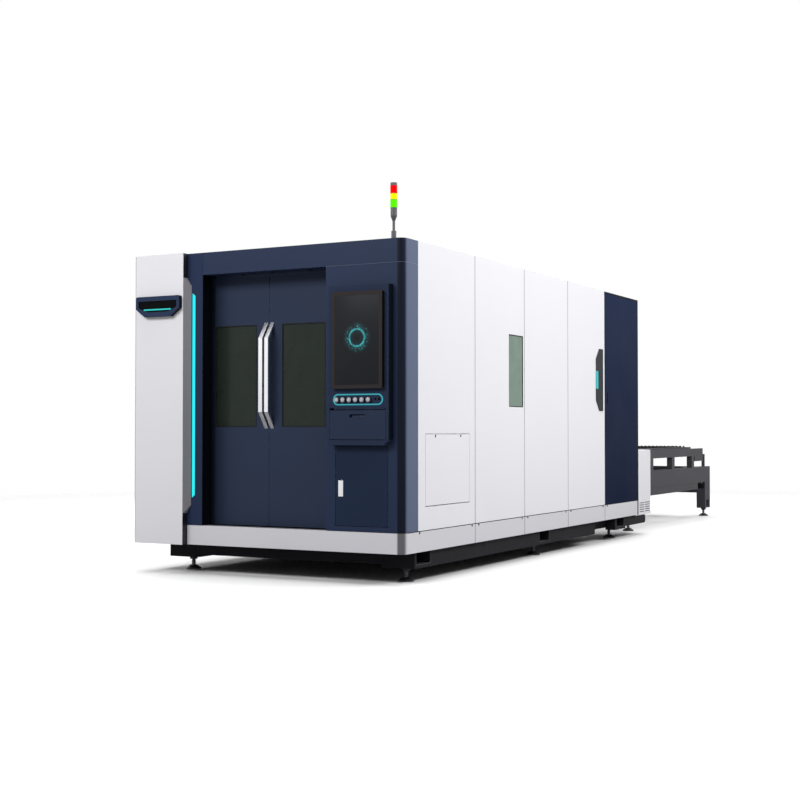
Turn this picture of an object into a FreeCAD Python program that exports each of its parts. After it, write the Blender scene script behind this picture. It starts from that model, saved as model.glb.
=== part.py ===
"""Enclosed fiber laser cutting machine with an exchange table, one solid per physical piece.

The frame: X runs to the right as seen from the operator's side, Y runs from the operator to the
exchange table, Z is up.  The origin lies on the floor under the middle of the whole machine.
All sizes are millimetres.
"""
import FreeCAD, Part
import math
import os
import re

import Sketcher

# ---------------------------------------------------------------------------------------------
# Driving dimensions
# ---------------------------------------------------------------------------------------------
SIZES = {
    # cabin as a whole
    "cabin_width": 2105, "cabin_depth": 4630, "cabin_top": 2200, "skin": 4, "pan": 30, "rim": 18,
    "seam": 3, "corner_radius": 50, "corner_wrap": 192,
    "plinth_low": 202, "plinth_top": 334,
    # frame tubes behind the panels
    "tube": 60, "tube_low": 300, "tube_thin": 40, "front_tube": 34,
    # welded base
    "base_low": 94, "beam_width": 244, "base_setback": 201, "base_inset": 30, "base_inset_left": 117,
    "beam_length": 3335, "spine_width": 154, "cross_low": 114, "cross_depth": 100, "cross_pitch": 1230,
    "fork_low": 120, "fork_height": 78, "fork_width": 195, "fork_start": 21, "fork_pitch": 2070,
    "block_back": 575, "block_length": 282, "bumper_length": 585, "bumper_low": 112,
    "bumper_height": 78,
    # front of the cabin
    "column_width": 415, "column_proud": 50, "jamb_width": 128, "pillar_width": 575,
    "header_height": 153, "front_box": 110,
    "facet_width": 35, "facet_low": 416, "facet_drop": 168, "facet_slope": 57,
    "strip_gap": 9, "strip_width": 22, "strip_low": 524, "strip_drop": 276, "strip_slope": 18,
    "strip_thick": 3,
    "badge_width": 376, "badge_inset": 28, "badge_drop": 290, "badge_side": 85, "badge_height": 141,
    "badge_foot": 76, "badge_thick": 32, "badge_frame": 24, "badge_border": 32, "badge_round": 12,
    "badge_recess": 6,
    # sliding front doors
    "leaf_setback": 155, "leaf_thick": 40, "leaf_width": 552, "meeting_inset": 1118, "leaf_gap": 4,
    "leaf_low": 342, "leaf_drop": 40, "glass_width": 345, "glass_edge": 100, "glass_low": 1006,
    "glass_top": 1703, "glass_thick": 6, "glass_set": 4, "track_height": 40, "track_width": 56,
    "track_wall": 6, "track_slot": 14, "hanger_length": 80, "hanger_inset": 90, "slide_gap": 0.3,
    "track_reach": 42,
    # door handles
    "grip_inset": 24, "grip_width": 33, "grip_thick": 24, "grip_out": 77, "grip_low": 995,
    "grip_high": 1718, "grip_bend": 112, "grip_round": 7,
    # right side panels, counted from the front corner
    "hatch_panel": 860, "window_panel": 878, "plain_panel": 902, "trim_panel": 880,
    "hatch_front": 104, "hatch_length": 664, "hatch_low": 493, "hatch_height": 465,
    "hatch_thick": 20, "hatch_gap": 3, "pivot_gap": 5, "lock_inset": 142, "lock_drop": 12,
    "lock_radius": 9, "pawl_length": 34, "pawl_width": 14, "pawl_thick": 4,
    "side_glass_front": 586, "side_glass_length": 264, "side_glass_low": 1157,
    "side_glass_height": 536,
    "trim_length": 172, "trim_gap": 48, "trim_low": 1153, "trim_high": 1689, "trim_slope": 90,
    "trim_bevel": 90, "trim_thick": 5, "side_strip_low": 1343, "side_strip_high": 1495,
    "side_strip_width": 50,
    # rear side door, rear wall and lift door
    "door_thick": 20, "corner_post": 14, "post_gap": 6, "pin_radius": 4, "pin_clear": 0.05,
    "pin_length": 12, "cap_height": 12, "pull_width": 14, "pull_height": 106, "pull_low": 1213,
    "pull_inset": 66, "pull_depth": 8,
    "wall_thick": 40, "portal_gap": 4.5, "portal_low": 560, "portal_top": 1450,
    "lift_low": 830, "lift_height": 680, "lift_lap": 33, "guide_depth": 44,
    "guide_wall": 6,
    # console on the control pillar
    "console_left": 522, "console_right": 80, "console_proud": 55, "console_low": 889,
    "console_top": 1911, "console_chamfer": 34, "console_round": 6, "console_wall": 10,
    "monitor_left": 483, "monitor_width": 371, "monitor_low": 1248, "monitor_height": 618,
    "monitor_proud": 28, "monitor_round": 8, "bezel": 24, "bezel_depth": 2,
    "ring_left": 485, "ring_width": 365, "ring_low": 1143, "ring_height": 72, "ring_line": 8,
    "button_left": 452, "button_pitch": 46.6, "button_level": 1178, "button_radius": 15.5,
    "button_out": 20, "button_head": 16, "stem_half": 5, "stem_clear": 0.1, "stem_length": 16,
    "flap_low": 925, "flap_height": 186, "flap_gap": 2, "flap_reveal": 14, "flap_thick": 16,
    "flap_foot": 4, "board_width": 360, "board_height": 138, "board_thick": 18, "board_rise": 24,
    "grip_slot_width": 120, "grip_slot_height": 25, "grip_slot_drop": 26, "grip_slot_depth": 8,
    # small cabinet under the console
    "case_left": 500, "case_width": 383, "case_low": 371, "case_height": 508, "case_gap": 3,
    "case_thick": 12, "bracket": 20, "case_pin": 3, "latch_width": 38, "latch_height": 107,
    "latch_inset": 18, "latch_low": 557, "latch_depth": 8, "latch_gap": 1, "latch_thick": 5,
    "latch_pin": 2, "latch_pivot": 6,
    # signal tower
    "lamp_inset": 155, "lamp_back": 150, "collar_radius": 17, "collar_height": 69, "pole_radius": 9,
    "pole_height": 64, "body_radius": 22, "taper_height": 33, "body_height": 52, "lens_radius": 23,
    "green_height": 53, "amber_height": 40, "red_height": 52, "cap_thick": 18,
    # machine bed and motion
    "bed_front": 1010, "bed_rear_gap": 110, "bed_top": 860, "bed_width": 140, "bed_cross": 100,
    "guide_width": 40, "guide_height": 30, "guide_inset": 55,
    "gantry_front": 1300, "gantry_depth": 220, "gantry_low": 1010, "gantry_height": 200,
    "beam_overhang": 22.5, "gantry_wall": 14, "truck_width": 70, "truck_low": 872,
    "cross_rail": 20, "cross_rail_low": 1050, "cross_rail_pitch": 100,
    "carriage_width": 300, "carriage_thick": 60, "carriage_low": 965, "carriage_height": 270,
    "head_width": 96, "head_depth": 90, "head_low": 905, "head_height": 300, "nozzle_radius": 30,
    "nozzle_tip": 9, "nozzle_bore": 1.5, "nozzle_low": 815, "nozzle_taper": 26,
    # exchange table
    "table_reach": 3414, "table_inset": 260, "flange": 100, "web": 8, "beam_low": 322,
    "beam_top": 572, "post_width": 58, "post_length": 93, "post_pitch": 743, "post_first": 442,
    "rail_low": 698, "rail_top": 784, "rail_end": 297, "rail_wall": 8,
    "leg_length": 209, "near_leg": 100, "near_leg_start": 570, "leg_hole_low": 110,
    "leg_hole_height": 75, "leg_hole_length": 108, "leg_hole_start": 50,
    "stop_length": 30, "stop_start": 244, "stop_width": 30, "stop_top": 716,
    "gusset_length": 325, "gusset_low": 640, "gusset_thick": 40, "table_cross_low": 380,
    "table_cross_height": 100, "table_cross_length": 80, "table_cross_pitch": 1000,
    "table_cross_first": 60, "end_plate_low": 270, "end_plate_thick": 10, "notch_length": 300,
    "notch_height": 73,
    # pallets
    "pallet_length": 2920, "pallet_start": 50, "pallet_travel": 3430, "side_bar": 35,
    "bar_gap": 2.5, "side_bar_low": 12, "side_bar_top": 92, "end_bar": 40,
    "strap_height": 8, "slat_thick": 5, "slat_pitch": 120, "slat_first": 72,
    "slat_tooth": 24, "wheel_radius": 30, "wheel_width": 25, "wheel_inset": 300,
    "axle_radius": 10, "axle_clear": 0.05, "slat_rise": 108,
    # drive cabinet beside the table
    "drive_gap": 8, "drive_length": 447, "drive_width": 230, "drive_low": 190, "drive_top": 800,
    "louvre_low": 217, "louvre_pitch": 20.5, "louvre_height": 6, "louvre_length": 140,
    "louvre_front": 120, "louvre_step": 165,
    # equipment behind the side hatch
    "source_inset": 113, "source_width": 380, "source_front": 230, "source_length": 480,
    "source_height": 600,
    # levelling feet
    "foot_radius": 53, "foot_edge": 9, "cone_radius": 26, "cone_top": 28, "stud_radius": 13,
    "nut_radius": 29, "nut_height": 24, "foot_inset": 122, "foot_back": 112, "foot_pitch": 2142,
    "foot_rear": 266,
}

# Places worked out from the driving dimensions.
PLACES = {
    "right_x": "cabin_width / 2",
    "front_proud": "console_proud + monitor_proud",
    "header_low": "cabin_top - header_height",
    "facet_high": "cabin_top - facet_drop",
    "strip_high": "cabin_top - strip_drop",
    "badge_top": "cabin_top - badge_drop",
    "table_half": "right_x - table_inset",
    "portal_half": "table_half + portal_gap",
    "lift_half": "portal_half + lift_lap",
    "front_y": "front_proud - (front_proud + cabin_depth + table_reach) / 2",
    "rear_y": "front_y + cabin_depth",
    "block_y": "rear_y - block_back",
    "table_y": "rear_y + table_reach",
    "leg_y": "table_y - leg_length",
    "panel_low": "plinth_top + seam",
    "column_x": "column_width - right_x",
    "open_left": "column_x + jamb_width",
    "open_right": "right_x - pillar_width",
    "meet_x": "right_x - meeting_inset",
    "leaf_y": "front_y + leaf_setback",
    "seam_a": "front_y + corner_wrap",
    "seam_b": "seam_a + hatch_panel",
    "seam_c": "seam_b + window_panel",
    "seam_d": "seam_c + plain_panel",
    "seam_e": "seam_d + trim_panel",
    "frame_x": "right_x - pan",
    "trim_rear": "seam_e - seam - trim_gap",
    "trim_front": "trim_rear - trim_length",
    "tube_top": "cabin_top - tube_thin",
    "track_top": "tube_top - tube_thin",
    "track_low": "track_top - track_height",
    "leaf_top": "track_low - leaf_drop",
    "track_y": "leaf_y + leaf_thick / 2 - track_width / 2",
    "hatch_y": "seam_a + hatch_front",
    "hatch_pivot_z": "hatch_low + hatch_thick / 2",
    "door_end": "rear_y - corner_post - post_gap",
    "door_top": "cabin_top - cap_height - seam",
    "console_y": "front_y - console_proud",
    "console_x": "right_x - console_left",
    "console_end": "right_x - console_right",
    "cavity_x": "console_x + console_wall",
    "cavity_end": "console_end - console_wall - console_wall",
    "flap_x": "cavity_x + flap_gap",
    "flap_end": "cavity_end - flap_gap",
    "flap_pivot_y": "console_y + flap_thick / 2",
    "flap_pivot_z": "flap_low + flap_thick / 2",
    "case_x": "right_x - case_left",
    "case_end": "case_x + case_width",
    "case_top": "case_low + case_height",
    "case_pivot_x": "case_end - case_thick / 2",
    "case_pivot_y": "front_y + case_thick / 2",
    "latch_x": "case_x + latch_inset",
    "latch_top": "latch_low + latch_height",
    "latch_pivot_z": "latch_top - latch_pivot",
    "latch_pivot_y": "front_y + latch_thick / 2 + latch_gap",
    "bed_x": "table_half",
    "bed_y": "front_y + bed_front",
    "bed_end": "rear_y - wall_thick - bed_rear_gap",
    "guide_x": "bed_x + guide_inset",
    "gantry_half": "guide_x + guide_width / 2 + truck_width / 2 + beam_overhang",
    "gantry_y": "front_y + gantry_front",
    "rail_x": "table_half - flange",
    "side_bar_half": "rail_x + bar_gap",
    "upper_run": "rail_low + rail_wall",
    "lower_run": "beam_top",
    "rail_y_end": "table_y - rail_end",
    "outer_pallet_y": "rear_y + pallet_start",
    "inner_pallet_y": "outer_pallet_y - pallet_travel",
}

DOCUMENT = FreeCAD.newDocument("LaserCuttingMachine")
BUTTON_COUNT = 6
SLAT_COUNT = 24
TEETH_PER_SLAT = 8
POST_COUNT = 4
TABLE_CROSS_COUNT = 3
BASE_CROSS_COUNT = 4
LOUVRE_ROWS = 5
SKIRT_SEAMS = ("seam_a", "seam_b", "seam_c", "seam_d", "seam_e", "rear_y")
NODES = []


# ---------------------------------------------------------------------------------------------
# Spreadsheets and formulas
# ---------------------------------------------------------------------------------------------
def bound(text):
    """Turn a formula in plain names into one that reads the spreadsheets."""
    def cell(match):
        name = match.group(0)
        if name in SIZES:
            return "Sizes." + name
        if name in PLACES:
            return "Places." + name
        return name
    return re.sub(r"[a-z][a-z_]*", cell, str(text))


def fill_sheets():
    """Write the driving dimensions as plain numbers, and the places as formulas."""
    sizes = DOCUMENT.addObject("Spreadsheet::Sheet", "Sizes")
    for row, (name, value) in enumerate(SIZES.items(), 1):
        sizes.set(f"A{row}", str(value))
        sizes.setAlias(f"A{row}", name)
    DOCUMENT.recompute()
    places = DOCUMENT.addObject("Spreadsheet::Sheet", "Places")
    for row, (name, text) in enumerate(PLACES.items(), 1):
        places.set(f"A{row}", "=" + bound(text).replace("Places.", ""))
        places.setAlias(f"A{row}", name)
    DOCUMENT.recompute()


def value(text):
    """The present value of a formula."""
    return float(DOCUMENT.Sizes.evalExpression(bound(text)))


def tie(thing, prop, text):
    """Bind one property of an object to a formula."""
    thing.setExpression(prop, bound(text))


def publish(thing, label):
    """Name an object as a node of the machine."""
    thing.Label = label
    NODES.append(thing)
    return thing


# ---------------------------------------------------------------------------------------------
# Primitive pieces
# ---------------------------------------------------------------------------------------------
def minus(text):
    return f"-({text})"


def mirrored(span):
    """The same span on the other side of the machine's middle plane."""
    low, high = span
    return minus(high), minus(low)


def sides(span):
    """A span on the right side, then on the left side."""
    return span, mirrored(span)


def block(x, y, z, name="block"):
    """A box between pairs of formulas."""
    box = DOCUMENT.addObject("Part::Box", name)
    for prop, axis, (low, high) in (("Length", "x", x), ("Width", "y", y), ("Height", "z", z)):
        tie(box, prop, f"({high}) - ({low})")
        tie(box, f"Placement.Base.{axis}", low)
    return box


def group(label, members):
    """Several separate solids that make one node."""
    compound = DOCUMENT.addObject("Part::Compound", label)
    compound.Links = members
    return publish(compound, label)


# ---------------------------------------------------------------------------------------------
# Sketched solids
# ---------------------------------------------------------------------------------------------
def circle(x, y, radius):
    return ("circle", x, y, radius)


def rectangle(x, y, radius=None):
    """A rectangle between pairs of formulas, with rounded corners if a radius is given."""
    corners = [(x[0], y[0]), (x[1], y[0]), (x[1], y[1]), (x[0], y[1])]
    if radius is None:
        return corners
    return [corner + (radius,) for corner in corners]


class Solid:
    """A body built from padded and pocketed sketches in the machine's frame."""

    PLANES = {"xy": "XY_Plane", "xz": "XZ_Plane", "yz": "YZ_Plane"}

    def __init__(self, name):
        self.body = DOCUMENT.addObject("PartDesign::Body", name)

    def sketch(self, plane, outlines, offset):
        """A sketch of closed outlines on one of the body's planes, moved along its normal."""
        drawing = self.body.newObject("Sketcher::SketchObject", "Sketch")
        role = self.PLANES[plane]
        support = [item for item in self.body.Origin.OriginFeatures if item.Role == role][0]
        drawing.AttachmentSupport = [(support, "")]
        drawing.MapMode = "FlatFace"
        tie(drawing, "AttachmentOffset.Base.z", offset)
        for outline in outlines:
            if outline[0] == "circle":
                draw_circle(drawing, *outline[1:])
            else:
                draw_polygon(drawing, outline)
        return drawing

    def pad(self, plane, outlines, span):
        """Add material between two positions along the plane's axis."""
        low, high = span
        offset = minus(high) if plane == "xz" else low
        feature = self.body.newObject("PartDesign::Pad", "Pad")
        feature.Profile = self.sketch(plane, listed(outlines), offset)
        tie(feature, "Length", f"({high}) - ({low})")
        return feature

    def cut(self, plane, outlines, span):
        """Remove material between two positions along the plane's axis."""
        low, high = span
        offset = minus(low) if plane == "xz" else high
        feature = self.body.newObject("PartDesign::Pocket", "Pocket")
        feature.Profile = self.sketch(plane, listed(outlines), offset)
        tie(feature, "Length", f"({high}) - ({low})")
        return feature

    def turn(self, outline, axis_x, axis_y):
        """Revolve an outline of radii and heights about a vertical axis."""
        feature = self.body.newObject("PartDesign::Revolution", "Revolution")
        drawing = self.sketch("xz", [outline], "0")
        feature.Profile = drawing
        feature.ReferenceAxis = (drawing, ["V_Axis"])
        feature.Angle = 360
        tie(self.body, "Placement.Base.x", axis_x)
        tie(self.body, "Placement.Base.y", axis_y)
        return feature

    def round(self, radius, chosen):
        """Round the edges that a test on their middle point and direction picks."""
        DOCUMENT.recompute()
        tip = self.body.Tip
        names = [f"Edge{number}" for number, edge in enumerate(tip.Shape.Edges, 1) if chosen(edge)]
        feature = self.body.newObject("PartDesign::Fillet", "Fillet")
        feature.Base = (tip, names)
        tie(feature, "Radius", radius)
        return feature


def listed(outlines):
    """One outline or several, as a list of outlines."""
    if outlines[0] == "circle":
        return [outlines]
    first = outlines[0]
    return [outlines] if isinstance(first, tuple) and first[0] != "circle" else outlines


def draw_circle(drawing, x, y, radius):
    index = drawing.addGeometry(
        Part.Circle(FreeCAD.Vector(value(x), value(y), 0), FreeCAD.Vector(0, 0, 1), value(radius)))
    for kind, text in (("DistanceX", x), ("DistanceY", y)):
        number = drawing.addConstraint(Sketcher.Constraint(kind, index, 3, value(text)))
        tie(drawing, f"Constraints[{number}]", text)
    number = drawing.addConstraint(Sketcher.Constraint("Radius", index, value(radius)))
    tie(drawing, f"Constraints[{number}]", radius)


def draw_polygon(drawing, outline):
    """Lines between the outline's corners; a third formula in a corner is its radius."""
    corners = [FreeCAD.Vector(value(c[0]), value(c[1]), 0) for c in outline]
    count = len(corners)
    starts, ends = list(corners), [corners[(i + 1) % count] for i in range(count)]
    arcs = {}
    for i, corner in enumerate(outline):
        if len(corner) > 2:
            arcs[i] = corner_arc(corners[i - 1], corners[i], corners[(i + 1) % count], value(corner[2]))
            ends[i - 1], starts[i] = arcs[i][1], arcs[i][2]
    lines = [drawing.addGeometry(Part.LineSegment(starts[i], ends[i])) for i in range(count)]
    for i, corner in enumerate(outline):
        before, after = lines[i - 1], lines[i]
        if i in arcs:
            point = round_corner(drawing, arcs[i], before, after, corner[2])
            pin_point(drawing, point, 1, corner)
        else:
            drawing.addConstraint(Sketcher.Constraint("Coincident", before, 2, after, 1))
            pin_point(drawing, after, 1, corner)


def corner_arc(before, corner, after, radius):
    """The arc that rounds a corner, with the points where it meets the two lines."""
    inward, outward = (before - corner).normalize(), (after - corner).normalize()
    half = inward.getAngle(outward) / 2
    reach = radius / math.tan(half)
    enter, leave = corner + inward * reach, corner + outward * reach
    centre = corner + (inward + outward).normalize() * (radius / math.sin(half))
    left_turn = (corner - before).cross(after - corner).z > 0
    first, last = (enter, leave) if left_turn else (leave, enter)
    angles = [math.atan2(p.y - centre.y, p.x - centre.x) for p in (first, last)]
    curve = Part.ArcOfCircle(Part.Circle(centre, FreeCAD.Vector(0, 0, 1), radius), *angles)
    return curve, enter, leave, left_turn, corner


def round_corner(drawing, arc, before, after, radius):
    """Put a tangent arc between two lines and return the point where the lines would meet."""
    curve, _, _, left_turn, corner = arc
    index = drawing.addGeometry(curve)
    start, end = (1, 2) if left_turn else (2, 1)
    drawing.addConstraint(Sketcher.Constraint("Tangent", before, 2, index, start))
    drawing.addConstraint(Sketcher.Constraint("Tangent", after, 1, index, end))
    number = drawing.addConstraint(Sketcher.Constraint("Radius", index, value(radius)))
    tie(drawing, f"Constraints[{number}]", radius)
    point = drawing.addGeometry(Part.Point(corner), True)
    drawing.addConstraint(Sketcher.Constraint("PointOnObject", point, 1, before))
    drawing.addConstraint(Sketcher.Constraint("PointOnObject", point, 1, after))
    return point


def pin_point(drawing, geometry, end, corner):
    for kind, text in (("DistanceX", corner[0]), ("DistanceY", corner[1])):
        number = drawing.addConstraint(Sketcher.Constraint(kind, geometry, end, value(text)))
        tie(drawing, f"Constraints[{number}]", text)


def folded_panel(name, y, z, outer, holes=(), islands=()):
    """A side panel: a sheet with its edges folded inwards, on the right or the left side.

    outer is the formula of the outer face, positive on the right side.  Holes go through the
    sheet, and each pocket of the folded back is a rectangle given in islands.
    """
    right = not outer.startswith("-")
    inner = f"{outer} - pan" if right else f"{outer} + pan"
    low, high = (inner, outer) if right else (outer, inner)
    panel = Solid(name)
    panel.pad("yz", rectangle(y, z), (low, high))
    back = (low, f"({high}) - skin") if right else (f"({low}) + skin", high)
    pockets = islands or [((f"{y[0]} + rim", f"{y[1]} - rim"), (f"{z[0]} + rim", f"{z[1]} - rim"))]
    for span_y, span_z in pockets:
        panel.cut("yz", rectangle(span_y, span_z), back)
    for hole in holes:
        panel.cut("yz", hole, (low, high))
    return panel


# ---------------------------------------------------------------------------------------------
# Welded base and feet
# ---------------------------------------------------------------------------------------------
def base_beam(outer, inward):
    """One long base beam with its forklift pockets; inward is '-' on the right, '+' on the left."""
    def across(near, far):
        edges = (f"{outer} {inward} ({far})", f"{outer} {inward} ({near})")
        return edges if inward == "-" else edges[::-1]

    start = "front_y + base_setback"
    height = ("base_low", "tube_low")
    beam = Solid("base_beam")
    beam.pad("yz", rectangle((start, f"{start} + beam_length"), height), across("0", "beam_width"))
    spine = (f"{start} + beam_length", "rear_y - wall_thick")
    beam.pad("yz", rectangle(spine, ("cross_low", "tube_low")), across("beam_width - spine_width", "beam_width"))
    foot = ("block_y", "block_y + block_length")
    beam.pad("yz", rectangle(foot, height), across("0", "beam_width - spine_width"))
    fork = ("fork_low", "fork_low + fork_height")
    for number in range(2):
        low = f"{start} + fork_start + {number} * fork_pitch"
        beam.cut("yz", rectangle((low, f"{low} + fork_width"), fork), across("0", "beam_width"))
    low = "block_y + (block_length - fork_width) / 2"
    beam.cut("yz", rectangle((low, f"{low} + fork_width"), fork), across("0", "beam_width - spine_width"))
    return beam.body


def base_cross_beams():
    """Cross beams between the long beams, and the round-ended bumper under the drive cabinet."""
    x = ("base_inset_left + beam_width - right_x", "right_x - base_inset - beam_width")
    beams = []
    for number in range(BASE_CROSS_COUNT):
        low = f"front_y + base_setback + {number} * cross_pitch"
        beams.append(block(x, (low, f"{low} + cross_depth"), ("cross_low", "tube_low")))
    bumper = Solid("bumper")
    start = "block_y + block_length"
    end = f"{start} + bumper_length"
    top = "bumper_low + bumper_height"
    nose = [(start, "bumper_low"), (end, "bumper_low", "bumper_height * 0.4"),
            (end, top, "bumper_height * 0.4"), (start, top)]
    width = "beam_width - spine_width"
    bumper.pad("yz", nose, (f"right_x - base_inset - ({width})", "right_x - base_inset"))
    group("base_cross_beams", beams + [bumper.body])


def hexagon(radius):
    """A six-sided outline round the origin of a sketch."""
    return [(f"({radius}) * cos({60 * n})", f"({radius}) * sin({60 * n})") for n in range(6)]


def levelling_foot(x, y, top):
    """A turned cone, its six-sided stud and the nut locked under the beam."""
    foot = Solid("foot")
    outline = [("0", "0"), ("foot_radius", "0"), ("foot_radius", "foot_edge"), ("cone_radius", "cone_top"),
               ("0", "cone_top")]
    foot.turn(outline, x, y)
    foot.pad("xy", hexagon("stud_radius"), ("cone_top", f"{top} - nut_height"))
    foot.pad("xy", hexagon("nut_radius"), (f"{top} - nut_height", top))
    return foot.body


def levelling_feet():
    feet = []
    right, left = "right_x - base_inset - foot_inset", "base_inset_left + foot_inset - right_x"
    for x in (right, left):
        for number in range(2):
            y = f"front_y + base_setback + foot_back + {number} * foot_pitch"
            feet.append(levelling_foot(x, y, "base_low"))
    spine = "(beam_width - spine_width / 2)"
    for x in (f"right_x - base_inset - {spine}", f"base_inset_left + {spine} - right_x"):
        feet.append(levelling_foot(x, "rear_y - foot_rear", "cross_low"))
    for sign in ("", "-"):
        x = f"{sign}(table_half - flange / 2)"
        feet.append(levelling_foot(x, "table_y - leg_length / 2", "base_low"))
        feet.append(levelling_foot(x, "rear_y + near_leg_start + near_leg / 2", "base_low"))
    group("leveling_feet", feet)


# ---------------------------------------------------------------------------------------------
# Cabin frame and panels
# ---------------------------------------------------------------------------------------------
def cabin_frame():
    """Square tubes that carry the panels: bottom ring, posts, jamb post and top ring."""
    low, high = ("tube_low", "plinth_top"), ("track_top", "tube_top")
    posts_z = ("plinth_top", "track_top")
    side = ("frame_x - tube", "frame_x")
    length = ("front_y + front_tube", "rear_y - wall_thick")
    between = ("tube - frame_x", "frame_x - tube")
    tubes = []
    for x in sides(side):
        tubes.append(block(x, length, low))
        tubes.append(block(x, length, high))
        corner = "front_y + front_tube" if x[0].startswith("-") else "front_y + front_box"
        for seam in (f"{corner} + tube / 2", "seam_b", "seam_c", "seam_d", "seam_e",
                     "rear_y - wall_thick - tube / 2"):
            tubes.append(block(x, (f"{seam} - tube / 2", f"{seam} + tube / 2"), posts_z))
    front = ("front_y + front_tube", "front_y + front_tube + tube")
    rear = ("rear_y - wall_thick - tube", "rear_y - wall_thick")
    track = ("track_y", "track_y + track_width")
    tubes += [block(between, front, low), block(between, rear, low), block(between, rear, high),
              block(between, track, high)]
    jamb = ("open_left - skin - tube", "open_left - skin")
    tubes.append(block(jamb, ("front_y + skin", "front_y + front_tube + tube"), posts_z))
    group("cabin_frame", tubes)


def wrapped_outline(start, depth):
    """Outline of a front piece that turns round the right front corner onto the side."""
    return [(start, "front_y"), ("right_x", "front_y", "corner_radius"), ("right_x", "seam_a"),
            ("frame_x", "seam_a"), ("frame_x", f"front_y + {depth}"), (start, f"front_y + {depth}")]


def hollow_outline(start, depth):
    """Outline of the hollow inside such a front piece, up to a given depth behind the front."""
    front = "front_y + skin"
    return [(f"{start} + skin", front), ("frame_x", front, "pan"), ("frame_x", f"front_y + {depth}"),
            (f"{start} + skin", f"front_y + {depth}")]


def plinth_panels():
    """White front plinth with its rounded corner, and the side skirts."""
    plinth = Solid("plinth")
    plinth.pad("xy", wrapped_outline("column_x + seam", "pan"), ("plinth_low", "plinth_top"))
    panels = [plinth.body]
    height = ("plinth_low", "plinth_top")
    pairs = list(zip(SKIRT_SEAMS, SKIRT_SEAMS[1:]))
    for x in sides(("frame_x", "right_x")):
        for number, (low, high) in enumerate(pairs):
            last = number == len(pairs) - 1
            end = f"{high} - corner_post" if last else f"{high} - seam"
            if last and not x[0].startswith("-"):
                skirt = Solid("skirt")
                skirt.pad("yz", rectangle((low, end), height), x)
                bore = circle("right_x - door_thick / 2", "door_end - door_thick / 2", "pin_radius + pin_clear")
                skirt.cut("xy", bore, ("plinth_top - pin_length", "plinth_top"))
                panels.append(skirt.body)
            else:
                panels.append(block(x, (low, end), height))
    group("plinth_panels", panels)


def front_header():
    """Navy beam over the doors: a folded box open at the back, wrapped round the corner."""
    header = Solid("front_header")
    header.pad("xy", wrapped_outline("open_left", "front_box"), ("header_low", "cabin_top"))
    header.cut("xy", hollow_outline("open_left", "front_box"), ("header_low + skin", "cabin_top - skin"))
    publish(header.body, "front_header")


def left_jamb():
    """Navy strip left of the doors, with the return that makes the door reveal."""
    jamb = Solid("left_jamb")
    outline = [("column_x - front_tube", "front_y"), ("open_left", "front_y"),
               ("open_left", "front_y + front_box"), ("open_left - skin", "front_y + front_box"),
               ("open_left - skin", "front_y + skin"), ("column_x - front_tube", "front_y + skin")]
    jamb.pad("xy", outline, ("panel_low", "cabin_top"))
    lid = rectangle(("column_x", "open_left"), ("front_y", "front_y + front_box"))
    jamb.pad("xy", lid, ("cabin_top - skin", "cabin_top"))
    publish(jamb.body, "left_jamb")


def left_column():
    """White column that stands proud of the front, with its returns and its top."""
    column = Solid("left_column")
    face, left = "front_y - column_proud", "-right_x"
    outline = [(left, face), ("column_x", face), ("column_x", "front_y"),
               ("column_x - skin", "front_y"), ("column_x - skin", f"{face} + skin"),
               ("pan - right_x", f"{face} + skin"), ("pan - right_x", "seam_a"), (left, "seam_a")]
    column.pad("xy", outline, ("plinth_low", "cabin_top"))
    column.pad("xy", rectangle((left, "column_x"), (face, "front_y")), ("cabin_top - skin", "cabin_top"))
    lid = rectangle((left, "column_x - front_tube"), ("front_y", "front_y + front_box"))
    column.pad("xy", lid, ("cabin_top - skin", "cabin_top"))
    publish(column.body, "left_column")


def column_badge():
    """Bare six-sided plate on the column: a raised frame round a recessed face."""
    badge = Solid("column_badge")
    left, right = "badge_inset - right_x", "badge_inset + badge_width - right_x"
    shoulder, foot = "badge_top - badge_side", "badge_top - badge_height"
    face = ("front_y - column_proud - badge_thick", "front_y - column_proud")
    outline = [(f"{left} + badge_foot", foot), (f"{right} - badge_foot", foot), (right, shoulder),
               (right, "badge_top", "badge_round"), (left, "badge_top", "badge_round"), (left, shoulder)]
    badge.pad("xz", outline, face)
    inner_left, inner_right = f"{left} + badge_frame", f"{right} - badge_frame"
    low, high = f"{foot} + badge_border", "badge_top - badge_border"
    slant = f"{shoulder} + badge_frame / 4"
    inner = [(f"{inner_left} + badge_foot", low), (f"{inner_right} - badge_foot", low), (inner_right, slant),
             (inner_right, high), (inner_left, high), (inner_left, slant)]
    badge.cut("xz", inner, (face[0], f"{face[0]} + badge_recess"))
    publish(badge.body, "column_badge")


def chevron_trims():
    """Grey facet between column and jamb, and the dark chevron frame on the right side."""
    facet = Solid("facet")
    wedge = [("column_x", "front_y - column_proud"), ("column_x + facet_width", "front_y"), ("column_x", "front_y")]
    facet.pad("xy", wedge, ("facet_low", "facet_high"))
    ends = ("front_y - column_proud", "front_y")
    edge = "column_x + facet_width"
    facet.cut("xz", [("column_x", "facet_high"), (edge, "facet_high - facet_slope"), (edge, "facet_high")], ends)
    facet.cut("xz", [("column_x", "facet_low"), (edge, "facet_low"), (edge, "facet_low + facet_slope")], ends)
    trim = Solid("trim")
    rear, front = "trim_rear", "trim_front"
    outline = [(rear, "trim_low"), (rear, "trim_high"), (f"{rear} - trim_bevel", "trim_high"),
               (front, "trim_high - trim_slope"), (front, "trim_low + trim_slope"),
               (f"{rear} - trim_bevel", "trim_low")]
    trim.pad("yz", outline, ("right_x", "right_x + trim_thick"))
    slot = rectangle((front, f"{front} + side_strip_width"), ("side_strip_low", "side_strip_high"))
    trim.cut("yz", slot, ("right_x + strip_thick", "right_x + trim_thick"))
    group("chevron_trims", [facet.body, trim.body])


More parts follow.
